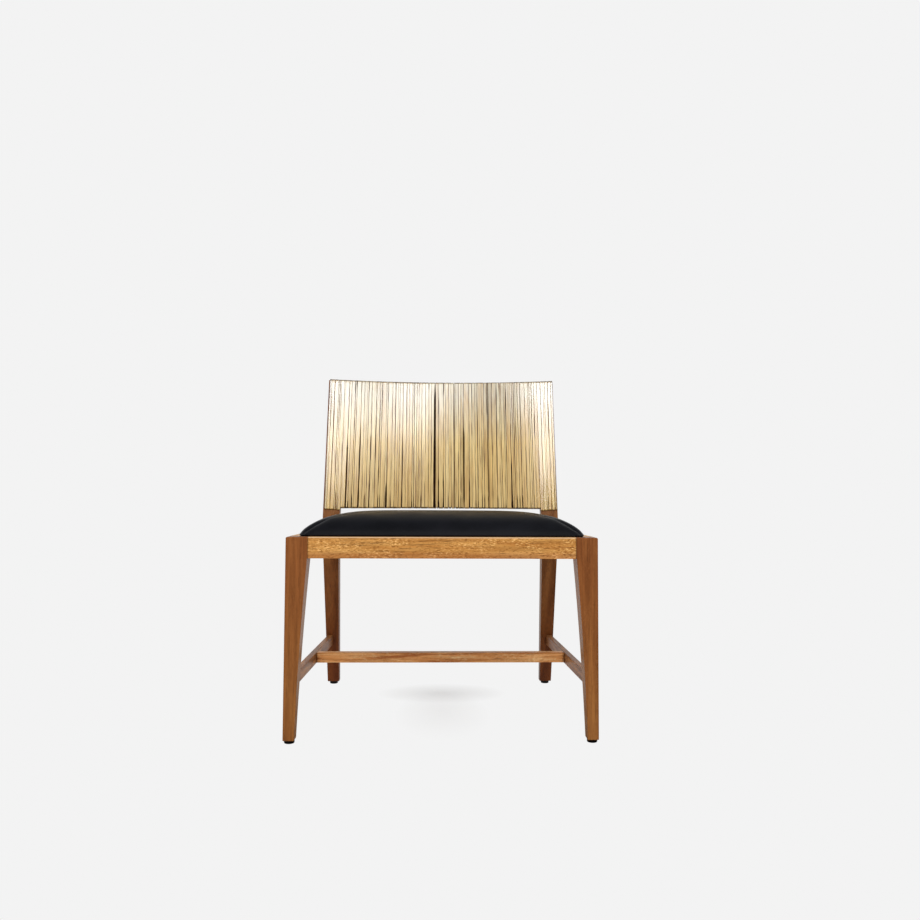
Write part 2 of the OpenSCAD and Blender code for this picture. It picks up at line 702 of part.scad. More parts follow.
// Rise of the pad's surface at share k of the way out from its middle
function pad_rise(k) =
    let (edge = (1 - k) * pad_front_half / pad_shoulder, crown = pad_crown - pad_belly)
    crown * (0.9 * pow(sin(90 * min(1, edge)), 0.7) + 0.1 * (1 - k * k));
pad_shares = [0.3, 0.55, 0.72, 0.8, 0.86, 0.91, 0.95, 0.98];

// A closed surface through rings of equal length, from a first pole to a last one
module ring_solid(first, rings, last) {
    n = len(rings[0]);
    m = len(rings);
    points = concat([first], [for (r = rings) each r], [last]);
    faces = concat(
        [for (j = [0 : n - 1]) [0, 1 + j, 1 + (j + 1) % n]],
        [for (i = [0 : m - 2]) for (j = [0 : n - 1])
            let (a = 1 + i * n + j, b = 1 + i * n + (j + 1) % n)
            each [[a, a + n, b], [b, a + n, b + n]]],
        [for (j = [0 : n - 1]) [1 + m * n, 1 + (m - 1) * n + (j + 1) % n, 1 + (m - 1) * n + j]]);
    polyhedron(points, [for (f = faces) [f[0], f[2], f[1]]]);
}
belly_z = seat_top + pad_belly;
module seat_cover() {
    under = support_z + skin_gap / 2;
    inner = leather_t;
    outside = concat(
        [for (k = pad_shares) pad_ring(-pad_swell, k, belly_z + pad_rise(k))],
        [pad_ring(-pad_swell, 1, belly_z), pad_ring(0, 1, seat_top), pad_ring(0, 1, under),
            pad_ring(pad_return, 1, under)]);
    inside = concat(
        [pad_ring(pad_return, 1, under + inner), pad_ring(inner, 1, under + inner),
            pad_ring(inner, 1, seat_top), pad_ring(inner - pad_swell, 1, belly_z)],
        [for (i = [len(pad_shares) - 1 : -1 : 0])
            pad_ring(inner - pad_swell, pad_shares[i], belly_z - inner + pad_rise(pad_shares[i]))]);
    ring_solid([0, pad_mid_y, belly_z + pad_rise(0)], concat(outside, inside),
        [0, pad_mid_y, belly_z - inner + pad_rise(0)]);
}
foam_gap = leather_t + skin_gap;
module seat_foam() {
    foam_floor = board_bottom + board_t + skin_gap;
    drop = foam_gap * 1.5;
    ring_solid([0, pad_mid_y, belly_z - drop + pad_rise(0)],
        concat([for (k = pad_shares) pad_ring(foam_gap - pad_swell, k, belly_z - drop + pad_rise(k))],
            [pad_ring(foam_gap, 1, foam_floor)]),
        [0, pad_mid_y, foam_floor]);
}
module seat_board() {
    difference() {
        translate([0, 0, board_bottom]) linear_extrude(board_t) polygon(pad_plan(foam_gap));
        for (s = [-1, 1]) on_side(s) seat_screw_pair("hole");
    }
}
module dust_cover() {
    sheet_t = 0.6;
    translate([0, 0, board_bottom - sheet_t]) linear_extrude(sheet_t) polygon(pad_plan(2 * pad_return));
}

nail_foot = glide_h / 3;
module foot_glide() {
    rim = 2;
    rotate_extrude($fn = glide_fn) difference() {
        polygon(rounded([[0, 0], [glide_dia / 2, 0], [glide_dia / 2, glide_h], [0, glide_h]],
            [0, rim, 0, 0], 2));
        translate([0, nail_foot - fit_gap]) square([nail_r + fit_gap, glide_h]);
    }
}
module at_feet() {
    for (s = [-1, 1], at = [front_foot_at, rear_foot_at]) translate([s * at.x, at.y, 0]) children();
}
module glide_nail() {
    translate([0, 0, nail_foot]) cylinder(r = nail_r, h = glide_h - nail_foot + nail_l - 1, $fn = screw_fn);
}

placed() color(leg_red) on_side(-1) front_leg();  // front_leg_left
placed() color(leg_red) front_leg();  // front_leg_right
placed() color(rear_brown) on_side(-1) rear_leg();  // rear_leg_left
placed() color(rear_brown) rear_leg();  // rear_leg_right
placed() color(rail_gold) front_rail();
placed() color(rail_gold) rear_rail();
placed() color(rail_gold) on_side(-1) side_rail();  // side_rail_left
placed() color(rail_gold) side_rail();  // side_rail_right
placed() color(leg_red) on_side(-1) side_stretcher();  // side_stretcher_left
placed() color(leg_red) side_stretcher();  // side_stretcher_right
placed() color(leg_red) cross_stretcher();
placed() color(birch) back_top_rail();
placed() color(birch) back_bottom_rail();
placed() color(stained_ply) back_panel(arc_r);  // back_panel_front
placed() color(stained_ply) back_panel(arc_r + back_t - panel_t);  // back_panel_rear
placed() color(straw) bamboo_strips_back();
placed() color(straw) on_side(-1) bamboo_strips_post(3);  // bamboo_strips_left_post
placed() color(straw) bamboo_strips_post(5);  // bamboo_strips_right_post
placed() color(birch) seat_board();
placed() color(foam_cream) seat_foam();
placed() color(black_leather) seat_cover();
placed() color(black_cloth) dust_cover();
placed() color(block_pine) on_side(-1) front_block();  // corner_block_front_left
placed() color(block_pine) front_block();  // corner_block_front_right
placed() color(block_pine) on_side(-1) rear_block();  // corner_block_rear_left
placed() color(block_pine) rear_block();  // corner_block_rear_right
placed() color(block_pine) cross_cleat(front_corner.x - block_l - ease, front_rail_back);  // cleat_front
placed() color(block_pine) cross_cleat(rear_corner.x - block_l - ease, rear_rail_front - cleat_s);  // cleat_rear
placed() color(block_pine) on_side(-1) side_cleat();  // cleat_left
placed() color(block_pine) side_cleat();  // cleat_right
placed() color(zinc) corner_block_screws();
placed() color(zinc) seat_screws();
placed() color(black_plastic) at_feet() foot_glide();  // foot_glides
placed() color(zinc) at_feet() glide_nail();  // glide_nails
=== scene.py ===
"""Low dining chair: tapered hardwood frame, curved backrest wrapped in split bamboo, leather
drop-in seat. Metres; the chair faces -Y, Z is up and the feet stand on Z = 0."""
from math import asin, cos, pi, radians, sin, tan

import bpy
import bmesh
import numpy as np
from mathutils import Matrix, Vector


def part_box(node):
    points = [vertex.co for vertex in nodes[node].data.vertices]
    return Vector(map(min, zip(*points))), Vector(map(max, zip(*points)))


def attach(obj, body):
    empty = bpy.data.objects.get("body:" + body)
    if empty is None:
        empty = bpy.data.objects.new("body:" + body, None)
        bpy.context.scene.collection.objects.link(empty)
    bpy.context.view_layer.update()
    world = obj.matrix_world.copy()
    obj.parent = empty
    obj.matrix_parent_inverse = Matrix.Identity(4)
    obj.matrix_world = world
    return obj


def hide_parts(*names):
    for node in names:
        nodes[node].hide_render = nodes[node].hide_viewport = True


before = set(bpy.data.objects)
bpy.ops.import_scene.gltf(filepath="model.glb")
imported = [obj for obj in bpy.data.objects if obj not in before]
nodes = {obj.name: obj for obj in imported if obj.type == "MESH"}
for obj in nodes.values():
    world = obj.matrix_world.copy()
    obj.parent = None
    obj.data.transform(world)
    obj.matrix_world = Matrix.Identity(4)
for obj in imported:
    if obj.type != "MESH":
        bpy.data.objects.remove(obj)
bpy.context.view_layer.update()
scene = bpy.context.scene

# ---- Front legs
# Solid hardwood, tapered on the inner edge and the back, the top rounded at its outer corner
# and notched for the pad. Stained reddish brown and lacquered satin, with fine upright grain.
# Towards the foot it is painted paler and more golden: painted light against the shade low down.


def stain(red, green, blue):
    """Linear colour of a display colour of 0 to 255: ((c / 255 + 0.055) / 1.055) to the 2.4."""
    c = np.array([red, green, blue], float) / 255
    linear = np.where(c <= 0.04045, c / 12.92, ((c + 0.055) / 1.055) ** 2.4)
    return (*(float(x) for x in linear), 1.0)


def tinged(colour, red, green, blue):
    """The colour with its channels multiplied, none above 1."""
    return (*(min(1.0, c * by) for c, by in zip(colour, (red, green, blue))), 1.0)


def step(tree, kind, inputs=None, **settings):
    """Adds a node; an input given as a socket is linked, any other is set."""
    made = tree.nodes.new("ShaderNode" + kind)
    for name, value in settings.items():
        setattr(made, name, value)
    for name, value in (inputs or {}).items():
        lead(tree, value, made.inputs[name])
    return made


def lead(tree, value, socket):
    """Links the value to the socket if it is a socket itself, and else sets it there."""
    if isinstance(value, bpy.types.NodeSocket):
        tree.links.new(value, socket)
    else:
        socket.default_value = value


def new_finish(name):
    """An empty material with its shader and output, as (material, tree, shader)."""
    material = bpy.data.materials.new(name)
    material.use_nodes = True
    tree = material.node_tree
    tree.nodes.clear()
    shader = step(tree, "BsdfPrincipled")
    step(tree, "OutputMaterial", {"Surface": shader.outputs["BSDF"]})
    return material, tree, shader


def reckon(tree, how, one, other=0.0):
    """One value and the other, put together by ADD, MULTIPLY, MAXIMUM and so on."""
    return step(tree, "Math", {0: one, 1: other}, operation=how).outputs["Value"]


def spread(tree, value, low, high, to_low, to_high):
    """Maps a value from low..high to to_low..to_high, held at the ends."""
    numbers = {"Value": value, "From Min": low, "From Max": high, "To Min": to_low, "To Max": to_high}
    return step(tree, "MapRange", numbers, clamp=True).outputs["Result"]


def ramp(tree, value, *stops):
    """Colour ramp of (position, colour) stops over a value."""
    made = step(tree, "ValToRGB", {"Fac": value})
    bar = made.color_ramp.elements
    while len(bar) < len(stops):
        bar.new(0.5)
    for element, (position, colour) in zip(bar, stops):
        element.position = position
        element.color = colour
    return made.outputs["Color"]


def blend_in(tree, share, under, over, how="MIX"):
    """Colour under with colour over laid on it by share."""
    made = step(tree, "Mix", {0: share, 6: under, 7: over}, data_type="RGBA", blend_type=how)
    return made.outputs[2]


def shaded(tree, colour, shade):
    """The colour times one value, the same in all three channels."""
    grey = step(tree, "CombineColor", {"Red": shade, "Green": shade, "Blue": shade}).outputs["Color"]
    return blend_in(tree, 1.0, colour, grey, "MULTIPLY")


def fibres(tree, place, run, squeeze, scale, detail=3.0, shift=0.0, twist=0.0):
    """Noise drawn out along the board: its coordinate along the run (0, 1 or 2) is squeezed."""
    sizes = [1.0, 1.0, 1.0]
    sizes[run] = squeeze
    shifts = (shift, shift * 0.7, shift * 1.3)
    turned = step(tree, "Mapping", {"Vector": place, "Scale": sizes, "Location": shifts})
    numbers = {"Vector": turned.outputs["Vector"], "Scale": scale, "Detail": detail, "Distortion": twist}
    return step(tree, "TexNoise", numbers).outputs["Fac"]


def surface(tree, shader, colour, rough, height, strength, distance, under=None):
    """Leads colour and roughness into the shader, and the height as a bump into its normal,
    on top of the normal under it if one is given."""
    bump = step(tree, "Bump", {"Height": height, "Strength": strength, "Distance": distance})
    if under is not None:
        tree.links.new(under, bump.inputs["Normal"])
    lead(tree, colour, shader.inputs["Base Color"])
    lead(tree, rough, shader.inputs["Roughness"])
    tree.links.new(bump.outputs["Normal"], shader.inputs["Normal"])


def all_over(shader, numbers):
    """Sets the shader's sockets that are the same all over the surface."""
    for socket, value in numbers.items():
        shader.inputs[socket].default_value = value


def stained_wood(name, run, deep, middle, pale, pores=0.5, mottle=0.0, shift=0.0, rough=0.42,
                 height_tint_and_painted_light=None, painted_arris_highlight=None, scale=34.0, joint=None):
    """Board wood. Growth figure is noise at 1 : 0.07 along the run, fibres at 1 : 0.02, open
    pores are short dark dashes where a third noise passes a level, and mottle is pale and dark
    flecks in patches. The height tint is (top, bottom, tint): the stain is multiplied by the tint,
    fading in from top to bottom; on the front legs it is painted light, paler towards the foot.
    The arris highlight is the height of an arris that is painted pale as a highlight, scale the
    figure's bands per metre. joint is (from, to): the wood darkens towards the joints, where |x|
    passes from one to the other."""
    material, tree, shader = new_finish(name)
    place = step(tree, "TexCoord").outputs["Object"]
    axes = step(tree, "SeparateXYZ", {"Vector": place}).outputs
    figure = fibres(tree, place, run, squeeze=0.07, scale=scale, detail=4, shift=shift, twist=0.8)
    fine = fibres(tree, place, run, squeeze=0.02, scale=420, shift=shift)
    dashes = fibres(tree, place, run, squeeze=0.045, scale=620, detail=2, shift=shift + 3)
    colour = ramp(tree, figure, (0.30, deep), (0.5, middle), (0.70, pale))
    colour = shaded(tree, colour, spread(tree, fine, 0.3, 0.7, 0.82, 1.12))
    if mottle:
        flecks = fibres(tree, place, run, squeeze=0.36, scale=460, detail=4, shift=shift + 7, twist=0.6)
        patches = fibres(tree, place, run, squeeze=0.30, scale=44, shift=shift + 9, twist=0.5)
        light = reckon(tree, "MULTIPLY", spread(tree, flecks, 0.53, 0.66, 0.0, mottle),
                       spread(tree, patches, 0.42, 0.58, 0.1, 1.0))
        dark = spread(tree, flecks, 0.45, 0.33, 0.0, mottle)
        colour = blend_in(tree, light, colour, tinged(pale, 1.35, 1.55, 1.95))
        colour = blend_in(tree, dark, colour, tinged(deep, 0.62, 0.62, 0.62))
    open_pores = spread(tree, dashes, 0.60, 0.70, 0.0, pores)
    colour = blend_in(tree, open_pores, colour, tinged(deep, 0.30, 0.30, 0.30))
    # tint by height: the stain's own change on the rails and rear legs, painted light on the front legs
    if height_tint_and_painted_light:
        top, bottom, tint = height_tint_and_painted_light
        colour = blend_in(tree, spread(tree, axes["Z"], top, bottom, 0.0, 1.0), colour,
                          blend_in(tree, 1.0, colour, (*tint, 1.0), "MULTIPLY"))
    # painted highlight: a pale line along the top arris, where the edge catches the lamps
    if painted_arris_highlight:
        highlight_share = reckon(tree, "MULTIPLY",
                      spread(tree, axes["Z"], painted_arris_highlight - 0.0006, painted_arris_highlight + 0.0004, 0.0, 0.75),
                      spread(tree, axes["Z"], painted_arris_highlight + 0.0010, painted_arris_highlight + 0.0014, 1.0, 0.15))
        colour = blend_in(tree, highlight_share, colour, stain(232, 206, 172))
    # darker towards the joints: a dark line at the rails' shoulders and the cross stretcher's ends
    if joint:
        reach = reckon(tree, "ABSOLUTE", axes["X"])
        colour = blend_in(tree, spread(tree, reach, joint[0], joint[1], 0.0, 0.8), colour,
                          stain(84, 42, 14))
    surface(tree, shader, colour, spread(tree, fine, 0.3, 0.7, rough - 0.06, rough + 0.10),
            reckon(tree, "SUBTRACT", fine, open_pores), strength=0.35, distance=0.0003)
    all_over(shader, {"Specular IOR Level": 0.10, "Coat Weight": 0.14, "Coat Roughness": 0.24,
                      "Sheen Weight": 0.10, "Sheen Roughness": 0.4, "Sheen Tint": stain(255, 222, 176)})
    return material


def dress(node, material, ease=0.0008):
    """Gives a CAD node its finish, and eases its sharp edges by hand-sanded rounding."""
    piece = nodes[node]
    piece.data.materials.clear()
    piece.data.materials.append(material)
    if ease:
        joined = piece.modifiers.new("joined", "WELD")
        joined.merge_threshold = 0.00001
        eased = piece.modifiers.new("eased", "BEVEL")
        eased.width = ease
        eased.segments = 2
        eased.limit_method = "ANGLE"
        eased.angle_limit = radians(38)


# the front legs' tint is painted light: paler and more golden towards the foot, against the shade low down
front_leg_wood = stained_wood(
    "front_leg_wood", 2, stain(119, 66, 28), stain(133, 77, 35), stain(147, 89, 43),
    pores=0.35, mottle=0.15, height_tint_and_painted_light=(0.32, 0.05, (1.16, 1.34, 1.30)), scale=60.0)
for node in ("front_leg_left", "front_leg_right"):
    dress(node, front_leg_wood, ease=0.0010)

# ---- Rear legs
# Solid hardwood, bent at the seat and pared above it to the backrest's curve. The same wood in
# a darker, browner stain, redder towards the feet.
rear_leg_left_wood = stained_wood(
    "rear_leg_left_wood", 2, stain(112, 64, 28), stain(135, 83, 40), stain(156, 102, 52),
    pores=0.4, mottle=0.15, shift=2.3, height_tint_and_painted_light=(0.36, 0.06, (0.66, 0.44, 0.34)))
rear_leg_right_wood = stained_wood(
    "rear_leg_right_wood", 2, stain(102, 58, 24), stain(122, 74, 34), stain(142, 92, 46),
    pores=0.4, mottle=0.15, shift=7.7, height_tint_and_painted_light=(0.36, 0.06, (0.70, 0.50, 0.38)))
dress("rear_leg_left", rear_leg_left_wood, ease=0.0010)
dress("rear_leg_right", rear_leg_right_wood, ease=0.0010)

# ---- Seat rails
# Four boards tenoned into the legs. The wood has open, mottled grain and a golden brown stain,
# a little darker and redder along the lower edge, and the top's arris is painted pale as a highlight.
rail_stains = stain(178, 116, 52), stain(197, 138, 69), stain(212, 156, 86)
# the rails' top arris at 0.3915 m gets a painted highlight
rail_look = {"pores": 0.7, "mottle": 1.0, "rough": 0.40, "scale": 70.0, "painted_arris_highlight": 0.3915,
             "height_tint_and_painted_light": (0.3665, 0.3585, (0.82, 0.74, 0.80))}
rail_wood = stained_wood("rail_wood", 0, *rail_stains, shift=5.1, joint=(0.2560, 0.2588), **rail_look)
side_rail_wood = stained_wood("side_rail_wood", 1, *rail_stains, shift=8.4, **rail_look)
for node in ("front_rail", "rear_rail"):
    dress(node, rail_wood, ease=0.0016)
for node in ("side_rail_left", "side_rail_right"):
    dress(node, side_rail_wood, ease=0.0010)

# ---- Stretchers
# Two slim side stretchers stub-tenoned into the legs, joined by one cross stretcher. Mid brown
# stain with straight grain. The cross stretcher's stain is much paler: painted light that makes up
# for the shade under the seat.
# painted light: a much paler copy of the stretcher stain, making up for the shade under the seat
cross_stretcher_lit_wood = stained_wood(
    "cross_stretcher_painted_light_wood", 0, stain(180, 104, 50), stain(224, 154, 90), stain(254, 202, 140),
    pores=0.6, mottle=0.3, shift=11.0, scale=110.0, joint=(0.2705, 0.2752))
side_wood = stained_wood(
    "side_stretcher_wood", 1, stain(102, 54, 21), stain(136, 80, 38), stain(174, 114, 60),
    pores=0.45, mottle=0.2, shift=13.0, scale=110.0)
dress("cross_stretcher", cross_stretcher_lit_wood)
for node in ("side_stretcher_left", "side_stretcher_right"):
    dress(node, side_wood)

# ---- Backrest frame
# Two curved rails laminated from birch, tongued into the legs, with a plywood panel let into
# their front and back. All are stained dark, and show only through the gaps between the strips.


def layered_wood(name, run, pale, deep, layer, stacked, shift=0.0):
    """Plywood or laminate of layers that thick, stacked along Y (1) or Z (2): each layer is one
    turn of a saw wave of that coordinate, and a glue line its dark end."""
    material, tree, shader = new_finish(name)
    place = step(tree, "TexCoord").outputs["Object"]
    along = fibres(tree, place, run, squeeze=0.05, scale=240, shift=shift)
    through = step(tree, "SeparateXYZ", {"Vector": place}).outputs[stacked]
    saw = reckon(tree, "FRACT", reckon(tree, "MULTIPLY", through, 1 / layer))
    glue = spread(tree, saw, 0.90, 0.96, 0.0, 0.5)
    colour = ramp(tree, along, (0.32, deep), (0.68, pale))
    colour = blend_in(tree, glue, colour, tinged(deep, 0.35, 0.35, 0.35))
    surface(tree, shader, colour, spread(tree, along, 0.3, 0.7, 0.5, 0.7), along,
            strength=0.3, distance=0.0003)
    all_over(shader, {"Specular IOR Level": 0.03})
    return material


back_core_wood = layered_wood("back_core_wood", 0, stain(52, 30, 16), stain(30, 16, 8),
                              layer=0.0022, stacked=1)
back_panel_ply = layered_wood("back_panel_ply", 2, stain(56, 34, 18), stain(32, 18, 9),
                              layer=0.002, stacked=1, shift=4.0)
for node in ("back_top_rail", "back_bottom_rail"):
    dress(node, back_core_wood, ease=0.0)
for node in ("back_panel_front", "back_panel_rear"):
    dress(node, back_panel_ply, ease=0.0)

# ---- Bamboo strips
# Split bamboo, each strip wrapped once round the backrest by hand and glued, then lacquered
# glossy. No two are the same width, and where they part the dark panel shows through.
lean = radians(15.7)
seat_back_y, seat_top_z = 0.1454085, 0.393
back_low, back_high = 0.441, 0.777
half_back, hollow, back_t, post_wide = 0.292, 0.050, 0.024, 0.040
arc_r = (half_back ** 2 + hollow ** 2) / (2 * hollow)
arc_centre = -arc_r * cos(asin(half_back / arc_r))
post_inner = half_back - post_wide
inner_angle = asin(post_inner / arc_r)
post_slope = (arc_r * cos(inner_angle) + arc_centre) / (half_back - post_inner)
strip_t, skin, turn, inner_turn = 0.0025, 0.0002, 0.004, 0.0006
# points of a strip's outline: up its front, and as far as the foot of its rear
front_points, rear_points = 27, 58


def strip_path(deep_in, tall, radius, is_open):
    """Rounded outline, as depth a and height b from the lower front corner: up the front,
    round the top edge, down the rear and, if closed, under the lower edge. The corners are
    quarter turns, centre + radius (cos, sin), drawn out downward where the rear meets the top."""
    up = np.concatenate([[0, 0.007], np.linspace(0.02, 0.98, 23), [0.993, 1]])
    quarter = np.linspace(0, pi / 2, 6)[1:-1]
    low = 0.0 if is_open else radius
    drawn = 1.62 * radius
    a, b = [np.zeros(front_points)], [low + (tall - radius - low) * up]
    a += [radius - radius * np.cos(quarter), np.linspace(radius, deep_in - radius, 4)]
    b += [tall - radius + radius * np.sin(quarter), np.full(4, tall)]
    a += [deep_in - radius + radius * np.sin(quarter), np.full(21, deep_in)]
    b += [tall - drawn + drawn * np.cos(quarter), low + (tall - drawn - low) * np.linspace(1, 0, 21)]
    if not is_open:
        a += [deep_in - radius + radius * np.cos(quarter), np.linspace(deep_in - radius, radius, 4)]
        b += [radius - radius * np.sin(quarter), np.zeros(4)]
        a += [radius - radius * np.sin(quarter)]
        b += [radius - radius * np.cos(quarter)]
    return np.concatenate(a), np.concatenate(b)


def window(along, low, high, soft):
    """1 between low and high, falling to 0 over soft beyond them: a product of two smooth steps."""
    rise = np.clip((along - low + soft) / soft, 0, 1)
    fall = np.clip((high + soft - along) / soft, 0, 1)
    return (rise * rise * (3 - 2 * rise)) * (fall * fall * (3 - 2 * fall))


def strip_sides(rng, edges, height, partings):
    """Left and right side of every strip along its outline: the edges between the strips,
    swayed by four slow sines of 0.08 to 0.30 mm and drawn apart by a gap of 0.1 to 0.8 mm,
    mostly small, and by the partings (edge, from, to, opening, on the front). The outermost
    edges stay straight."""
    count, ring = height.shape
    share = np.arange(ring) / ring
    phase = rng.uniform(0, 2 * pi, (count + 1, 4))
    size = rng.uniform(0.3, 1.0, (count + 1, 4)) * np.array([0.30, 0.22, 0.14, 0.08]) * 0.001
    sway = sum(size[:, m:m + 1] * np.cos(2 * pi * (m + 1) * share + phase[:, m:m + 1]) for m in range(4))
    gap = np.tile(rng.uniform(0.01, 1.0, (count + 1, 1)) ** 3 * 0.0007 + 0.00010, (1, ring))
    on_front = np.where(np.arange(ring) < front_points + 2, 1.0, 0.0)
    level = np.vstack([height, height[-1:]])
    for which, low, high, wide, front in partings:
        side = on_front if front else 1 - on_front
        gap[which] += wide * window(level[which], low, high, 0.25 * (high - low) + 0.004) * side
    gap[0] = gap[-1] = sway[0] = sway[-1] = 0.0
    return edges[:-1, None] + sway[:-1] + gap[:-1] / 2, edges[1:, None] + sway[1:] - gap[1:] / 2


def strip_marks(rng, height, across, is_open, on_post, greyed):
    """Marks for the material: the strip's tone, how near its side a point is (|u| to the 4th),
    and how dark it is: painted shade at the bends over the edges, and darkening on a post's
    outermost edge and on the last strip above the height greyed. The bend shade is a line through
    (point of the outline, share) pairs."""
    (count, ring), sides = height.shape, len(across)
    tone = rng.uniform(0, 1, (count, 1, 1)) + np.zeros((count, ring, sides))
    rim = np.abs(across) ** 4 + np.zeros((count, ring, sides))
    # painted shade where the strips bend over the top and bottom edges
    turn_shade = np.interp(np.arange(ring), *zip(
        (0, 0.0 if is_open else 0.7), (1, 0), (26, 0), (27, 0.5), (28, 1), (30, 1), (31, 0.5),
        (35, 1), (36, 1), (38, 0.6), (40, 0), (41, 0)))
    if not is_open:
        turn_shade[rear_points:] = np.interp(np.arange(rear_points, ring), *zip(
            (58, 0), (59, 0.3), (60, 1), (63, 1), (65, 0.4), (67, 0.8), (69, 1)))
    dark = rng.uniform(0.45, 1, (count, 1, 1)) * turn_shade[None, :, None] + np.zeros((count, ring, sides))
    if on_post:
        dark[-1] = np.maximum(dark[-1], 0.8 * (across > 0.70))
    if greyed:
        darkened_top = np.clip((height[-1, :, None] - greyed) / 0.03, 0, 1) * (across > -0.2)
        dark[-1] = np.maximum(dark[-1], darkened_top)
    return np.stack([tone, rim, dark, np.ones((count, ring, sides))], -1)


def wrap_strips(name, edges, partings, is_open, lows, on_post, seed, greyed=None):
    """Strips between the neighbouring edges (metres along the face). At angle phi and depth r a
    point is (r sin phi, centre + r cos phi), leant back by the lean. On a post the face is flat,
    n = slope (half width - x) + d, and the sides turn from the arc's radius inside to straight
    back outside: x = s + (1 - k) tan(inner angle) d. A strip's skin is flat and its corners are
    eased; u runs across it from -1 to 1, and h from its inner to its outer face."""
    rng = np.random.default_rng(seed)
    count = len(edges) - 1
    tall = (back_high - lows) / cos(lean)
    core = back_t + 2 * skin
    a_out, _ = strip_path(core + 2 * strip_t, 1.0, turn, is_open)
    ring = len(a_out)
    a_in = strip_path(core, 1.0, inner_turn, is_open)[0] + strip_t
    b_out = np.stack([strip_path(core + 2 * strip_t, high, turn, is_open)[1] for high in tall])
    drop = 0.0 if is_open else strip_t
    inner_tall = tall - strip_t - drop
    b_in = np.stack([strip_path(core, high, inner_turn, is_open)[1] for high in inner_tall]) + drop
    height = lows[:, None] + b_out * cos(lean)
    left, right = strip_sides(rng, edges, height, partings)
    middle, half = (left + right) / 2, np.maximum((right - left) / 2, 0.0006)
    u = np.array([-1, -1, -0.975, -0.94, -0.90, -0.86, -0.82, 0.82, 0.86, 0.90, 0.94, 0.975, 1, 1])
    lift = np.array([0.0, 0.74, 0.88, 0.955, 0.99, 1.0, 1.0, 1.0, 1.0, 0.99, 0.955, 0.88, 0.74, 0.0])
    sides = len(u)
    full = rng.uniform(0.90, 1.0, (count, 1, 1))
    tip = rng.normal(0, 0.006, (count, 1, 1))
    turns = 2 * pi * (np.arange(ring) / ring)[None, :, None] * rng.integers(2, 6, (count, 1, 1))
    tip = tip + 0.004 * np.sin(turns + rng.uniform(0, 6, (count, 1, 1)))
    h = np.where(lift > 0, np.clip(lift * full + tip * u, 0.25, 1.0), 0.0)
    s = middle[:, :, None] + half[:, :, None] * u
    depth = a_in[None, :, None] * (1 - h) + a_out[None, :, None] * h
    rise = b_in[:, :, None] * (1 - h) + b_out[:, :, None] * h
    if on_post:
        d = (depth - skin - strip_t) * np.sqrt(1 + post_slope ** 2)
        turn_in = (1 - (s - post_inner) / (half_back - post_inner)) * tan(inner_angle)
        x = s + turn_in * d / (1 + post_slope * turn_in)
        n = post_slope * (half_back - x) + d
    else:
        r = arc_r - skin - strip_t + depth
        x = r * np.sin(s / arc_r)
        n = arc_centre + r * np.cos(s / arc_r)
    v = (lows[:, None, None] - seat_top_z + n * sin(lean)) / cos(lean) + rise
    points = np.stack([x, seat_back_y + n * cos(lean) + v * sin(lean),
                       seat_top_z - n * sin(lean) + v * cos(lean)], -1)
    spans = ring - 1 if is_open else ring
    i, k, j = np.meshgrid(np.arange(count), np.arange(spans), np.arange(sides), indexing="ij")
    k2, j2 = (k + 1) % ring, (j + 1) % sides
    number = np.arange(count * ring * sides).reshape(count, ring, sides)
    quads = np.stack([number[i, k, j], number[i, k, j2], number[i, k2, j2], number[i, k2, j]], -1)
    faces = quads.reshape(-1, 4).tolist()
    run = np.concatenate([[0], np.cumsum(np.hypot(np.diff(a_out), np.diff(b_out[0])))])
    run = np.append(run, run[-1] + 0.0016)
    across = np.append(u, -1.0)
    offset = rng.uniform(0, 1, count)

    def laid_flat(point, along, side):
        """UV: metres across and along the strip, each strip on its own stretch of the noise."""
        return np.stack([middle[i, point] + half[i, point] * across[side] + i * 0.05,
                         run[along] + offset[i]], -1)

    uv = np.stack([laid_flat(k, k, j), laid_flat(k, k, j + 1),
                   laid_flat(k2, k + 1, j + 1), laid_flat(k2, k + 1, j)], -2).reshape(-1, 2)
    if is_open:
        faces += number[:, 0, ::-1].tolist() + number[:, -1].tolist()
        uv = np.vstack([uv, np.zeros((2 * count * sides, 2))])
    mesh = bpy.data.meshes.new(name)
    mesh.from_pydata(points.reshape(-1, 3), [], faces)
    mesh.uv_layers.new(name="along_strip").data.foreach_set("uv", uv.astype(np.float32).ravel())
    marks = strip_marks(rng, height, u, is_open, on_post, greyed)
    mesh.attributes.new("strip_marks", "FLOAT_COLOR", "POINT").data.foreach_set("color", marks.ravel())
    mesh.polygons.foreach_set("use_smooth", np.ones(len(mesh.polygons), bool))
    return mesh


def closed_shell(name, mesh, material):
    """A piece of that mesh, its normals turned outward, in the scene and riding on the root."""
    work = bmesh.new()
    work.from_mesh(mesh)
    bmesh.ops.recalc_face_normals(work, faces=work.faces)
    work.to_mesh(mesh)
    work.free()
    piece = bpy.data.objects.new(name, mesh)
    scene.collection.objects.link(piece)
    mesh.materials.append(material)
    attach(piece, "root")
    return piece


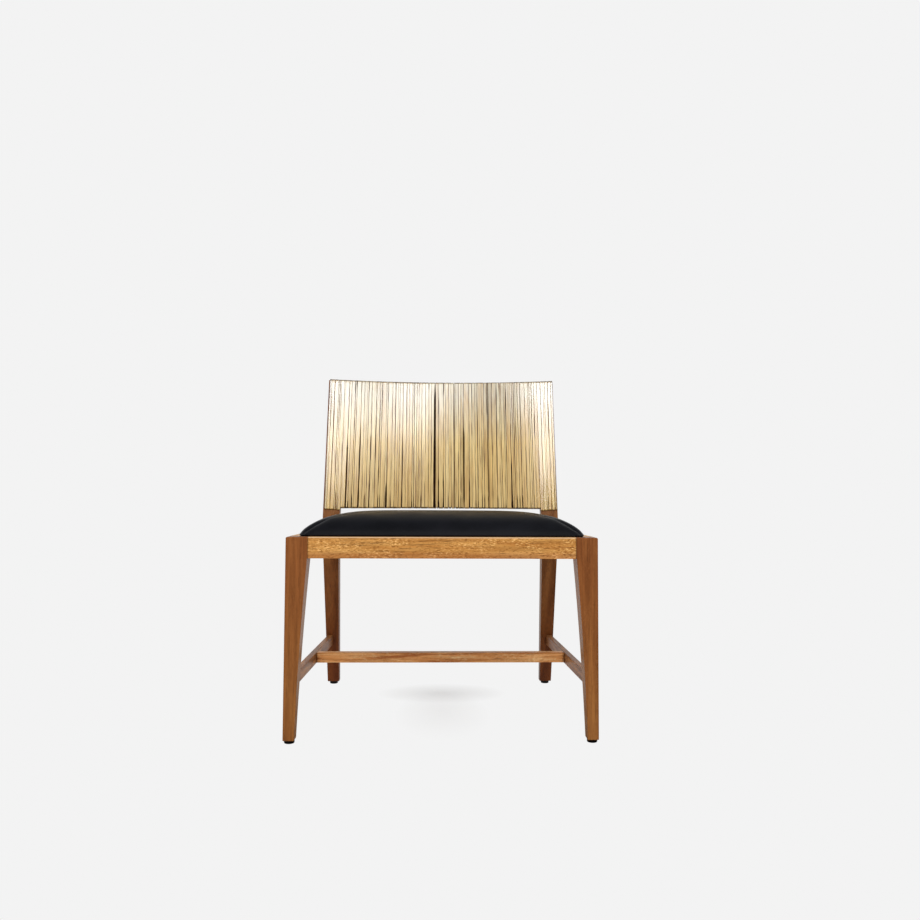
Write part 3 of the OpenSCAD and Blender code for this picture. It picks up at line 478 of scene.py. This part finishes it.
def split_bamboo():
    """Each strip has its own tone between straw and ochre. Towards the top it is painted paler and
    greyer: a painted highlight of the soft boxes. Fibres are noise drawn out 1 : 0.012 along the
    strip, with dark threads where it passes a level. The sides are brown in stretches and have no
    lacquer, and the bends are darkened with painted shade; a post's outermost edge and the top of
    the last strip are darkened too. The lacquer is a clear coat."""
    material, tree, shader = new_finish("split_bamboo")
    place = step(tree, "TexCoord").outputs["Object"]
    height = step(tree, "SeparateXYZ", {"Vector": place}).outputs["Z"]
    along = step(tree, "UVMap", uv_map="along_strip").outputs["UV"]
    marks = step(tree, "Attribute", attribute_name="strip_marks", attribute_type="GEOMETRY")
    part = step(tree, "SeparateColor", {"Color": marks.outputs["Color"]}).outputs
    tone, rim, bend_shade_and_dark = part["Red"], part["Green"], part["Blue"]
    fibre = fibres(tree, along, 1, squeeze=0.012, scale=1300, detail=4)
    broad = fibres(tree, along, 1, squeeze=0.016, scale=300, shift=2.0)
    thread = fibres(tree, along, 1, squeeze=0.012, scale=560, detail=2, shift=5.0)
    blotch = fibres(tree, along, 1, squeeze=0.12, scale=60, shift=9.0, twist=0.5)
    broken = fibres(tree, along, 1, squeeze=0.05, scale=190, detail=2, shift=14.0)
    colour = ramp(tree, tone, (0.0, stain(216, 180, 108)), (0.35, stain(230, 197, 127)),
                  (0.7, stain(240, 212, 143)), (1.0, stain(248, 224, 162)))
    low, high = spread(tree, height, 0.76, 0.50, 0.0, 0.5), spread(tree, height, 0.61, 0.74, 0.0, 0.72)
    colour = blend_in(tree, low, colour, stain(228, 192, 120))
    # painted highlight: the strips are painted paler and greyer towards the top
    colour = blend_in(tree, high, colour, stain(204, 200, 184))
    colour = blend_in(tree, spread(tree, blotch, 0.45, 0.75, 0.0, 0.55), colour, stain(196, 146, 72))
    colour = shaded(tree, colour, spread(tree, broad, 0.32, 0.68, 0.86, 1.14))
    colour = blend_in(tree, spread(tree, fibre, 0.54, 0.66, 0.0, 0.5), colour, stain(140, 92, 44))
    dark = spread(tree, thread, 0.59, 0.63, 0.0, 0.6)
    colour = blend_in(tree, dark, colour, stain(118, 68, 22))
    side = reckon(tree, "MULTIPLY", spread(tree, rim, 0.58, 0.68, 0.0, 1.0),
                  spread(tree, broken, 0.42, 0.52, 0.15, 1.0))
    colour = blend_in(tree, side, colour, stain(54, 26, 6))
    # painted shade at the bends, with the darkened post edge and last strip's top
    colour = blend_in(tree, spread(tree, bend_shade_and_dark, 0.15, 0.9, 0.0, 0.9), colour, stain(64, 44, 26))
    surface(tree, shader, colour, spread(tree, fibre, 0.3, 0.7, 0.34, 0.52),
            reckon(tree, "SUBTRACT", fibre, dark), strength=0.5, distance=0.00025)
    tree.links.new(spread(tree, rim, 0.58, 0.72, 1.0, 0.05), shader.inputs["Coat Weight"])
    all_over(shader, {"Coat Roughness": 0.17, "Coat IOR": 1.8, "Specular IOR Level": 0.12})
    return material


def strip_edges(run, count, seed, fixed=()):
    """Edges of uneven strips: widths from 0.45 to 1.55 of the mean, then the edge nearest to
    each fixed place (millimetres) is moved onto it."""
    rng = np.random.default_rng(seed)
    wide = rng.uniform(0.45, 1.55, count)
    edges = np.concatenate([[0], np.cumsum(wide)]) / wide.sum() * run - run / 2
    taken = []
    for place in fixed:
        free = [q for q in range(1, count) if q not in taken]
        nearest = min(free, key=lambda q: abs(edges[q] - place / 1000))
        edges[nearest] = place / 1000
        taken.append(nearest)
    return np.sort(edges)


def scattered(slits, edges, seed, low):
    """Random partings at each inner edge, on both faces: short flares at the lower and the
    upper end, and slits between, which slits says how many edges have."""
    rng = np.random.default_rng(seed)
    found = []
    for which in range(1, len(edges) - 1):
        for front in (True, False):
            if rng.random() < 0.65:
                flare = low + rng.uniform(0.004, 0.035)
                found.append((which, low, flare, rng.uniform(0.0006, 0.0018), front))
            if rng.random() < 0.35:
                flare = back_high - rng.uniform(0.004, 0.030)
                found.append((which, flare, back_high, rng.uniform(0.0004, 0.0012), front))
            if rng.random() < slits:
                at = rng.uniform(0.46, 0.72)
                end = at + rng.uniform(0.02, 0.12)
                found.append((which, at, end, rng.uniform(0.0004, 0.0012), front))
    return found


bamboo = split_bamboo()
# where the strips part most on the front: place in mm, from and to height in m, opening in m
wide_partings = [
    (-243, 0.44, 0.585, 0.0026), (-211, 0.44, 0.62, 0.0022), (-183.5, 0.44, 0.60, 0.0012),
    (-161, 0.53, 0.69, 0.0010), (-140.5, 0.44, 0.495, 0.0026), (-100, 0.44, 0.60, 0.0015),
    (-70, 0.44, 0.775, 0.0009), (-16, 0.445, 0.72, 0.0050), (-6, 0.44, 0.51, 0.0022),
    (6.5, 0.44, 0.51, 0.0020), (34.5, 0.44, 0.75, 0.0012), (60, 0.48, 0.63, 0.0028),
    (74, 0.44, 0.50, 0.0018), (123, 0.50, 0.77, 0.0018), (147, 0.55, 0.74, 0.0012),
    (171, 0.57, 0.73, 0.0010), (184, 0.44, 0.545, 0.0024), (193, 0.53, 0.74, 0.0010),
    (210, 0.44, 0.47, 0.0016), (-120, 0.60, 0.775, 0.0008), (96, 0.44, 0.70, 0.0010)]
back_strips, post_strips = 68, 6
back_edges = strip_edges(2 * arc_r * inner_angle, back_strips, seed=21,
                         fixed=[parting[0] for parting in wide_partings])
partings = [(int(np.argmin(abs(back_edges - p / 1000))), low, high, wide, True)
            for p, low, high, wide in wide_partings]
partings += scattered(0.5, back_edges, seed=5, low=back_low)
strips = closed_shell("bamboo_wrap", wrap_strips(
    "bamboo_wrap", back_edges, partings, is_open=False, lows=np.full(back_strips, back_low),
    on_post=False, seed=31), bamboo)
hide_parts("bamboo_strips_back")

# on a post the strips stop short of its outer face, and their open lower ends step down a
# little towards its inside; the left post's are made as a right one's and mirrored
for side, short, greyed, seed in (("right", 0.001, None, 41), ("left", 0.0028, 0.71, 43)):
    outermost = half_back - short
    post_edges = strip_edges(outermost - post_inner, post_strips, seed) + (outermost + post_inner) / 2
    lows = back_low - 0.003 * (1 - np.arange(post_strips) / post_strips)
    mesh = wrap_strips("bamboo_" + side, post_edges, scattered(0.6, post_edges, seed + 1, back_low),
                       is_open=True, lows=lows, on_post=True, seed=seed, greyed=greyed)
    if side == "left":
        mesh.transform(Matrix.Diagonal((-1, 1, 1, 1)))
    post = closed_shell("bamboo_wrap_" + side + "_post", mesh, bamboo)
    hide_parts("bamboo_strips_" + side + "_post")

# ---- Seat board
# Twelve-millimetre birch plywood, bare, carries the foam. Only a border of its underside shows,
# between the leather's turned edge and the dust cloth.
board_ply = layered_wood("board_ply", 0, stain(224, 198, 156), stain(200, 168, 122),
                         layer=0.0024, stacked=2, shift=6.0)
dress("seat_board", board_ply, ease=0.0006)

# ---- Seat foam and leather cover
# A crowned block of foam under one hide of smooth black leather, drawn over the board and
# turned under it. The leather is inflated as cloth, so that it swells and settles on its own.
to_middle = 0.3315915
pad_front, pad_rear, pad_corner = 0.0215 - to_middle, 0.474 - to_middle, 0.026
half_front, half_rear = 0.27843, 0.26896
pad_middle_y = (pad_front + pad_rear) / 2
crown_half_wide, crown_half_deep, shoulder = 0.278, 0.226, 0.070


def pad_place(across, back, inset):
    """Plan point for across and back in -1..1: a trapezium whose corners are rounded. Beyond
    the corner's centre c the point is moved to c + radius * direction, on rings max(|u|, |v|),
    the more so the nearer the rim (to the 4th power)."""
    ring = np.maximum(np.abs(across), np.abs(back))
    safe = np.where(ring == 0, 1, ring)
    du, dv = across / safe, back / safe
    ru = max(pad_corner - inset, 0.004) / (half_front - inset)
    rv = max(pad_corner - inset, 0.004) / ((pad_rear - pad_front) / 2 - inset)
    cu, cv = np.sign(du) * (1 - ru), np.sign(dv) * (1 - rv)
    in_corner = (np.abs(du) > 1 - ru) & (np.abs(dv) > 1 - rv)
    qu, qv = (du - cu) / ru, (dv - cv) / rv
    q = np.maximum(np.hypot(qu, qv), 1e-9)
    bu = np.where(in_corner, cu + qu / q * ru, du)
    bv = np.where(in_corner, cv + qv / q * rv, dv)
    w = ring ** 4
    u = ring * ((1 - w) * du + w * bu)
    v = ring * ((1 - w) * dv + w * bv)
    y = pad_middle_y + v * ((pad_rear - pad_front) / 2 - inset)
    half = half_front + (half_rear - half_front) * (y - pad_front) / (pad_rear - pad_front)
    return u * (half - inset), y


def crown(across, back, tall):
    """Rise of the pad: 0.96 sin(90 e)^0.7 + 0.04 dome, where e is a smooth minimum, 1 over the
    2.2th root of the sum of the inverses to the 2.2, of the distances to the sides over the
    shoulder's width."""
    ex = (1 - np.abs(across)) * crown_half_wide / shoulder + 1e-4
    ey = (1 - np.abs(back)) * crown_half_deep / shoulder + 1e-4
    e = np.minimum((ex ** -2.2 + ey ** -2.2) ** (-1 / 2.2), 1)
    return tall * (0.96 * np.sin(pi / 2 * e) ** 0.7 + 0.04 * (1 - across ** 2) * (1 - back ** 2))


def pad_sheet(name, columns, rows, tall, base, rim):
    """Quads of the crowned top, then of rings down its side: rim lists (inset, height) from
    the top's edge down. Lines crowd a little towards the edge: 0.6 s + 0.4 sin(90 s)."""
    s, t = np.linspace(-1, 1, columns), np.linspace(-1, 1, rows)
    across, back = np.meshgrid(0.6 * s + 0.4 * np.sin(pi / 2 * s), 0.6 * t + 0.4 * np.sin(pi / 2 * t))
    x, y = pad_place(across, back, rim[0][0])
    points = [np.stack([x, y, base + crown(across, back, tall)], -1).reshape(-1, 3)]
    index = np.arange(rows * columns).reshape(rows, columns)
    quads = [np.stack([index[:-1, :-1], index[:-1, 1:], index[1:, 1:], index[1:, :-1]], -1).reshape(-1, 4)]
    last = np.concatenate([index[0, :-1], index[:-1, -1], index[-1, :0:-1], index[:0:-1, 0]])
    edge_across, edge_back = across.ravel()[last], back.ravel()[last]
    total = rows * columns
    for inset, level in rim[1:]:
        px, py = pad_place(edge_across, edge_back, inset)
        points.append(np.stack([px, py, np.full(len(px), level)], -1))
        here = total + np.arange(len(px))
        total += len(px)
        quads.append(np.stack([last, here, np.roll(here, -1), np.roll(last, -1)], -1))
        last = here
    mesh = bpy.data.meshes.new(name)
    mesh.from_pydata(np.vstack(points), [], np.vstack(quads).tolist())
    mesh.polygons.foreach_set("use_smooth", np.ones(len(mesh.polygons), bool))
    return mesh


def places(mesh):
    """All vertices of a mesh as an (n, 3) array."""
    spots = np.empty(len(mesh.vertices) * 3, np.float32)
    mesh.vertices.foreach_get("co", spots)
    return spots.reshape(-1, 3)


def swollen(cover, held_below, furthest, last_frame):
    """Places of the cover's vertices after cloth has inflated it for some frames, held where it
    lies below a height. No vertex goes further than furthest."""
    flat = places(cover.data)
    held = cover.vertex_groups.new(name="held")
    held.add(np.nonzero(flat[:, 2] < held_below)[0].tolist(), 1.0, "REPLACE")
    swell = cover.modifiers.new("swell", "CLOTH")
    cloth = swell.settings
    cloth.use_pressure = True
    cloth.uniform_pressure_force = 1.0
    cloth.effector_weights.gravity = 0.0
    cloth.mass = 0.3
    cloth.tension_stiffness = cloth.compression_stiffness = 15.0
    cloth.shear_stiffness = 5.0
    cloth.bending_stiffness = 0.5
    cloth.tension_damping = cloth.compression_damping = 25.0
    cloth.air_damping = 10.0
    cloth.vertex_group_mass = "held"
    cloth.quality = 6
    swell.point_cache.frame_start, swell.point_cache.frame_end = 1, last_frame
    for moment in range(1, last_frame + 1):
        scene.frame_set(moment)
    settled = cover.evaluated_get(bpy.context.evaluated_depsgraph_get())
    moved = places(settled.to_mesh()) - flat
    settled.to_mesh_clear()
    cover.modifiers.remove(swell)
    cover.vertex_groups.remove(held)
    scene.frame_set(1)
    reach = np.linalg.norm(moved, axis=1, keepdims=True)
    return flat + moved * np.minimum(1, furthest / np.maximum(reach, 1e-9))


def black_leather():
    """Fine pebble from small cells, creased by noise; broad soft unevenness breaks the shine."""
    material, tree, shader = new_finish("black_leather")
    place = step(tree, "TexCoord").outputs["Object"]
    cells = step(tree, "TexVoronoi", {"Vector": place, "Scale": 900.0}, feature="DISTANCE_TO_EDGE")
    crease = step(tree, "TexNoise", {"Vector": place, "Scale": 320.0, "Detail": 4.0}).outputs["Fac"]
    broad = step(tree, "TexNoise", {"Vector": place, "Scale": 14.0, "Detail": 3.0}).outputs["Fac"]
    colour = ramp(tree, broad, (0.35, stain(17, 18, 22)), (0.65, stain(24, 25, 30)))
    colour = blend_in(tree, spread(tree, crease, 0.55, 0.75, 0.0, 0.3), colour, stain(36, 36, 42))
    pebble = step(tree, "Bump", {
        "Height": cells.outputs["Distance"], "Strength": 0.25, "Distance": 0.0002})
    surface(tree, shader, colour, spread(tree, broad, 0.3, 0.7, 0.38, 0.50), broad,
            strength=0.2, distance=0.003, under=pebble.outputs["Normal"])
    all_over(shader, {"Specular IOR Level": 0.09})
    return material


leather_rim = [
    (-0.0022, 0.3972), (-0.0034, 0.3961), (-0.0022, 0.3946), (-0.0003, 0.3935), (0.0002, 0.3915),
    (0.0002, 0.3870), (0.0002, 0.3825), (0.0006, 0.3804), (0.0020, 0.3793), (0.0060, 0.3792),
    (0.0120, 0.3792), (0.0180, 0.3792)]
cover_mesh = pad_sheet("leather_cover", 93, 77, tall=0.0382, base=0.3970, rim=leather_rim)
cover = bpy.data.objects.new("leather_cover", cover_mesh)
scene.collection.objects.link(cover)
swelled = swollen(cover, held_below=0.3955, furthest=0.005, last_frame=16)
cover_mesh.vertices.foreach_set("co", swelled.ravel())
hide = cover.modifiers.new("hide", "SOLIDIFY")
hide.thickness, hide.offset = 0.0012, -1.0
smooth = cover.modifiers.new("smooth", "SUBSURF")
smooth.levels = smooth.render_levels = 1
cover_mesh.materials.append(black_leather())
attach(cover, "root")
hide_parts("seat_cover")


def foam_skin():
    """Pale foam: open cells as small pits, yellowed unevenly."""
    material, tree, shader = new_finish("foam_skin")
    place = step(tree, "TexCoord").outputs["Object"]
    cells = step(tree, "TexVoronoi", {"Vector": place, "Scale": 700.0}).outputs["Distance"]
    age = step(tree, "TexNoise", {"Vector": place, "Scale": 9.0}).outputs["Fac"]
    colour = ramp(tree, age, (0.3, stain(236, 222, 182)), (0.7, stain(244, 236, 208)))
    surface(tree, shader, colour, rough=0.95, height=cells, strength=0.6, distance=0.0005)
    return material


foam_rim = [(0.0030, 0.3938), (0.0026, 0.3934), (0.0030, 0.3929), (0.0120, 0.3927),
            (0.1200, 0.3927), (0.2200, 0.3927)]
foam_mesh = pad_sheet("foam_pad", 61, 51, tall=0.0352, base=0.3938, rim=foam_rim)
foam = closed_shell("foam_pad", foam_mesh, foam_skin())
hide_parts("seat_foam")

# ---- Dust cloth
# Thin black non-woven cloth stapled under the board, drawn tight, a little slack between the
# staples.


def felted_black():
    """Non-woven cloth: two crossing noises for its matted fibres, with small pressed dots."""
    material, tree, shader = new_finish("dust_cloth")
    place = step(tree, "TexCoord").outputs["Object"]
    mat = reckon(tree, "MAXIMUM", fibres(tree, place, 0, squeeze=0.15, scale=900, detail=2),
                 fibres(tree, place, 1, squeeze=0.15, scale=900, detail=2, shift=3.0))
    dots = step(tree, "TexVoronoi", {"Vector": place, "Scale": 420.0, "Randomness": 0.0}).outputs
    colour = ramp(tree, mat, (0.45, stain(26, 26, 27)), (0.75, stain(62, 62, 64)))
    pressed = spread(tree, dots["Distance"], 0.35, 0.2, 0.0, 0.5)
    colour = blend_in(tree, pressed, colour, stain(18, 18, 19))
    surface(tree, shader, colour, rough=0.92, height=mat, strength=0.5, distance=0.0003)
    return material


def tight_cloth(low, high, narrowing):
    """Trapezium between two corners, wider at the rear by narrowing: x = s (wide + narrowing
    (t + 1)) / 2. It sags 1 mm in the middle and ripples between staples 38 mm apart, the
    ripples fading from the edge as exp(-distance / 12 mm)."""
    wide, deep, pitch = high.x - low.x, high.y - low.y, 0.038
    s, t = np.meshgrid(np.linspace(-1, 1, 81), np.linspace(-1, 1, 65))
    x = s * (wide + narrowing * (t + 1)) / 2
    y = (low.y + high.y) / 2 + t * deep / 2
    inward = np.minimum((1 - np.abs(s)) * wide / 2, (1 - np.abs(t)) * deep / 2)
    slack = 0.0010 * (1 - s ** 2) * (1 - t ** 2) * (1 + 0.25 * np.cos(9 * s) * np.cos(7 * t))
    ripple = 0.0003 * np.exp(-inward / 0.012) * (1 - np.cos(2 * pi * (x + y) / pitch)) * (inward > 0)
    z = high.z - 0.0002 - slack - ripple
    grid = np.arange(s.size).reshape(s.shape)
    quads = np.stack([grid[:-1, :-1], grid[1:, :-1], grid[1:, 1:], grid[:-1, 1:]], -1).reshape(-1, 4)
    mesh = bpy.data.meshes.new("dust_cloth")
    mesh.from_pydata(np.stack([x, y, z], -1).reshape(-1, 3), [], quads.tolist())
    mesh.polygons.foreach_set("use_smooth", np.ones(len(mesh.polygons), bool))
    return mesh


cloth_low, cloth_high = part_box("dust_cover")
wide, deep = cloth_high.x - cloth_low.x, cloth_high.y - cloth_low.y
narrowing = (half_rear - half_front) / (pad_rear - pad_front) * deep
dust_cloth = bpy.data.objects.new("dust_cloth", tight_cloth(cloth_low, cloth_high, narrowing))
scene.collection.objects.link(dust_cloth)
cloth_thick = dust_cloth.modifiers.new("cloth", "SOLIDIFY")
cloth_thick.thickness, cloth_thick.offset = 0.0004, 1.0
dust_cloth.data.materials.append(felted_black())
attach(dust_cloth, "root")
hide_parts("dust_cover")

# ---- Corner blocks and cleats
# Bare pine. Four blocks are glued and screwed inside the corners of the seat, and four cleats
# run along the rails under the pad's edge.
pine = stain(196, 160, 108), stain(218, 186, 134), stain(232, 206, 158)
pine_look = {"pores": 0.15, "mottle": 0.1, "rough": 0.62}
block_wood = stained_wood("block_wood", 0, *pine, shift=17.0, **pine_look)
cleat_wood = stained_wood("cleat_wood", 1, *pine, shift=19.0, **pine_look)
for node in ("corner_block_front_left", "corner_block_front_right", "corner_block_rear_left",
             "corner_block_rear_right", "cleat_front", "cleat_rear"):
    dress(node, block_wood)
for node in ("cleat_left", "cleat_right"):
    dress(node, cleat_wood)

# ---- Screws and nails
# Zinc plated steel, countersunk: eight in the corner blocks, four up into the seat board, and
# one nail in each glide.


def zinc():
    """Dull plating: cloudy spangle in its colour, roughness and bump."""
    material, tree, shader = new_finish("zinc_steel")
    place = step(tree, "TexCoord").outputs["Object"]
    cloud = step(tree, "TexNoise", {"Vector": place, "Scale": 600.0, "Detail": 3.0}).outputs["Fac"]
    colour = ramp(tree, cloud, (0.3, stain(176, 174, 166)), (0.7, stain(214, 214, 208)))
    surface(tree, shader, colour, spread(tree, cloud, 0.3, 0.7, 0.28, 0.5), cloud,
            strength=0.2, distance=0.0001)
    all_over(shader, {"Metallic": 1.0})
    return material


zinc_steel = zinc()
for node in ("corner_block_screws", "seat_screws", "glide_nails"):
    dress(node, zinc_steel, ease=0.0)

# ---- Foot glides
# Black moulded plastic with a fine texture, nailed under each leg to keep the wood off the
# floor, and scuffed by it.


def scuffed_plastic():
    """Moulded texture as fine noise, greyer and rougher where coarse noise marks scuffs."""
    material, tree, shader = new_finish("glide_plastic")
    place = step(tree, "TexCoord").outputs["Object"]
    fine = step(tree, "TexNoise", {"Vector": place, "Scale": 1500.0, "Detail": 2.0}).outputs["Fac"]
    scuff = step(tree, "TexNoise", {"Vector": place, "Scale": 120.0, "Detail": 5.0}).outputs["Fac"]
    colour = blend_in(tree, spread(tree, scuff, 0.55, 0.72, 0.0, 0.5), stain(11, 7, 6), stain(38, 32, 29))
    surface(tree, shader, colour, spread(tree, scuff, 0.4, 0.7, 0.42, 0.7), fine,
            strength=0.3, distance=0.0001)
    all_over(shader, {"Specular IOR Level": 0.2})
    return material


dress("foot_glides", scuffed_plastic(), ease=0.0)

# ---- Floor, background and light
# A pale floor that runs into a background of the same tone, and a bank of soft boxes high in
# front, to the right, in the middle and to the left. The room behind them is dim, so gloss
# shows the pale backdrop from behind the chair and little from in front.
backdrop, room_gloss, room_light, bank_y = 0.896, 0.08, 0.72, -2.83


def rays_that_show(tree):
    """Light Path's outputs, and a value that is 1 for rays from the camera, off gloss and
    through glass, which show the backdrop's tone."""
    rays = step(tree, "LightPath").outputs
    seen = reckon(tree, "MAXIMUM", rays["Is Camera Ray"], rays["Is Glossy Ray"])
    return rays, reckon(tree, "MAXIMUM", seen, rays["Is Transmission Ray"])


def soft_patch(tree, place, x, y, wide, deep, share):
    """Oval shadow round (x, y): the share at its middle falls evenly to 0 at its rim."""
    inside = step(tree, "Mapping", {"Vector": place, "Location": (-x / wide, -y / deep, 0.0),
                                    "Scale": (1 / wide, 1 / deep, 1.0)}).outputs["Vector"]
    from_middle = step(tree, "VectorMath", {0: inside}, operation="LENGTH").outputs["Value"]
    return spread(tree, from_middle, 0.08, 1.0, share, 0.0)


def pale_paper():
    """Glows in the backdrop's tone for rays that show it, less in gloss from in front, and is
    matt for the rest. Where the chair's shadow lies, the glow gives way to the matt."""
    material = bpy.data.materials.new("floor_paper")
    material.use_nodes = True
    tree = material.node_tree
    tree.nodes.clear()
    place = step(tree, "TexCoord").outputs["Object"]
    rays, seen = rays_that_show(tree)
    from_front = step(tree, "SeparateXYZ", {"Vector": place}).outputs["Y"]
    level = reckon(tree, "MAXIMUM", rays["Is Camera Ray"], spread(tree, from_front, -0.3, 0.5, 0.05, 1.0))
    level = reckon(tree, "MULTIPLY", level, backdrop)
    shadow = reckon(
        tree, "ADD", soft_patch(tree, place, x=0.004, y=0.102, wide=0.155, deep=0.105, share=0.35),
        soft_patch(tree, place, x=0.004, y=-0.095, wide=0.105, deep=0.210, share=0.20))
    share = reckon(tree, "MULTIPLY", reckon(tree, "SUBTRACT", 1.0, shadow), seen)
    matt = step(tree, "BsdfDiffuse", {"Color": (0.86, 0.86, 0.86, 1.0)}).outputs["BSDF"]
    glow = step(tree, "Emission", {"Color": (1, 1, 1, 1), "Strength": level}).outputs["Emission"]
    both = step(tree, "MixShader", {0: share, 1: matt, 2: glow}).outputs["Shader"]
    step(tree, "OutputMaterial", {"Surface": both})
    return material


floor_mesh = bpy.data.meshes.new("floor")
floor_mesh.from_pydata([(-9, -9, 0), (9, -9, 0), (9, 9, 0), (-9, 9, 0)], [], [(0, 1, 2, 3)])
floor = bpy.data.objects.new("floor", floor_mesh)
scene.collection.objects.link(floor)
floor_mesh.materials.append(pale_paper())

sky = bpy.data.worlds.new("studio")
scene.world = sky
sky.use_nodes = True
sky.node_tree.nodes.clear()


def dim_room(tree):
    """The backdrop's tone for the camera, and for gloss low behind the chair, falling to the
    dim room in front and above. It lights the rest evenly."""
    rays, seen = rays_that_show(tree)
    toward = step(tree, "TexCoord").outputs["Generated"]
    toward = step(tree, "SeparateXYZ", {"Vector": toward}).outputs
    behind = reckon(tree, "MULTIPLY", spread(tree, toward["Y"], -0.15, 0.35, 0.0, 1.0),
                    spread(tree, toward["Z"], 0.80, 0.40, 0.0, 1.0))
    mirrored = spread(tree, behind, 0.0, 1.0, room_gloss, backdrop)
    level = step(tree, "Mix", {0: rays["Is Camera Ray"], 2: mirrored, 3: backdrop}).outputs[0]
    level = step(tree, "Mix", {0: seen, 2: room_light, 3: level}).outputs[0]
    back = step(tree, "Background", {"Color": (1, 1, 1, 1), "Strength": level}).outputs["Background"]
    step(tree, "OutputWorld", {"Surface": back})


dim_room(sky.node_tree)


def stand(thing, right, up, ahead, place):
    """Puts a lamp or camera, which looks along its own -Z, at its place and into the scene."""
    turned = np.column_stack([right, up, -ahead, place])
    thing.matrix_world = Matrix([*turned.tolist(), [0, 0, 0, 1]])
    scene.collection.objects.link(thing)


def soft_box(name, x, z, wide, tall, tilt, radiance):
    """A rectangular lamp in the bank, facing the backrest. Its power is radiance * pi * area."""
    lamp = bpy.data.lights.new(name, "AREA")
    lamp.shape = "RECTANGLE"
    lamp.size, lamp.size_y = wide, tall
    lamp.energy = radiance * pi * wide * tall
    box = bpy.data.objects.new(name, lamp)
    box.visible_camera = False
    place = np.array([x, bank_y, z])
    ahead = np.array([0.0, 0.15, 0.60]) - place
    ahead /= np.linalg.norm(ahead)
    right = np.cross(ahead, [0, 0, 1])
    right /= np.linalg.norm(right)
    up = np.cross(right, ahead)
    c, s = cos(radians(tilt)), sin(radians(tilt))
    stand(box, c * right + s * up, c * up - s * right, ahead, place)


soft_box("box_right_inner", 1.47, 3.36, wide=0.56, tall=0.80, tilt=-18, radiance=8)
soft_box("box_right_outer", 1.84, 3.34, wide=0.30, tall=1.34, tilt=-18, radiance=9.5)
soft_box("box_middle", 0.64, 3.18, wide=0.70, tall=0.60, tilt=0, radiance=8)
soft_box("box_middle_low", 0.0, 3.31, wide=0.84, tall=0.54, tilt=-26, radiance=4.7)
soft_box("box_top", -0.30, 3.68, wide=2.30, tall=0.40, tilt=0, radiance=3.2)
soft_box("box_left_inner", -1.42, 3.42, wide=0.46, tall=0.40, tilt=-32, radiance=6)
soft_box("box_left", -1.86, 3.30, wide=0.62, tall=1.16, tilt=-3, radiance=11)

# ---- Camera
# Eye height 469 mm, 1.99 m in front of the chair's middle, turned 1.7 degrees to the right and
# tilted 2.5 degrees up.
focal_px, picture_px, film_mm = 862.51, 920, 36
lens = bpy.data.cameras.new("camera")
lens.sensor_width = film_mm
lens.lens = focal_px / picture_px * film_mm
eye = bpy.data.objects.new("camera", lens)
yaw, pitch, roll = radians(1.699), radians(2.501), radians(0.25)
above = np.array([0, 0, 1])
level_ahead, level_right = np.array([sin(yaw), cos(yaw), 0]), np.array([cos(yaw), -sin(yaw), 0])
top = above * cos(pitch) - level_ahead * sin(pitch)
stand(eye, level_right * cos(roll) + top * sin(roll), top * cos(roll) - level_right * sin(roll),
      level_ahead * cos(pitch) + above * sin(pitch), (-0.01654, -1.99412, 0.46924))
scene.camera = eye
scene.view_settings.view_transform = "Standard"
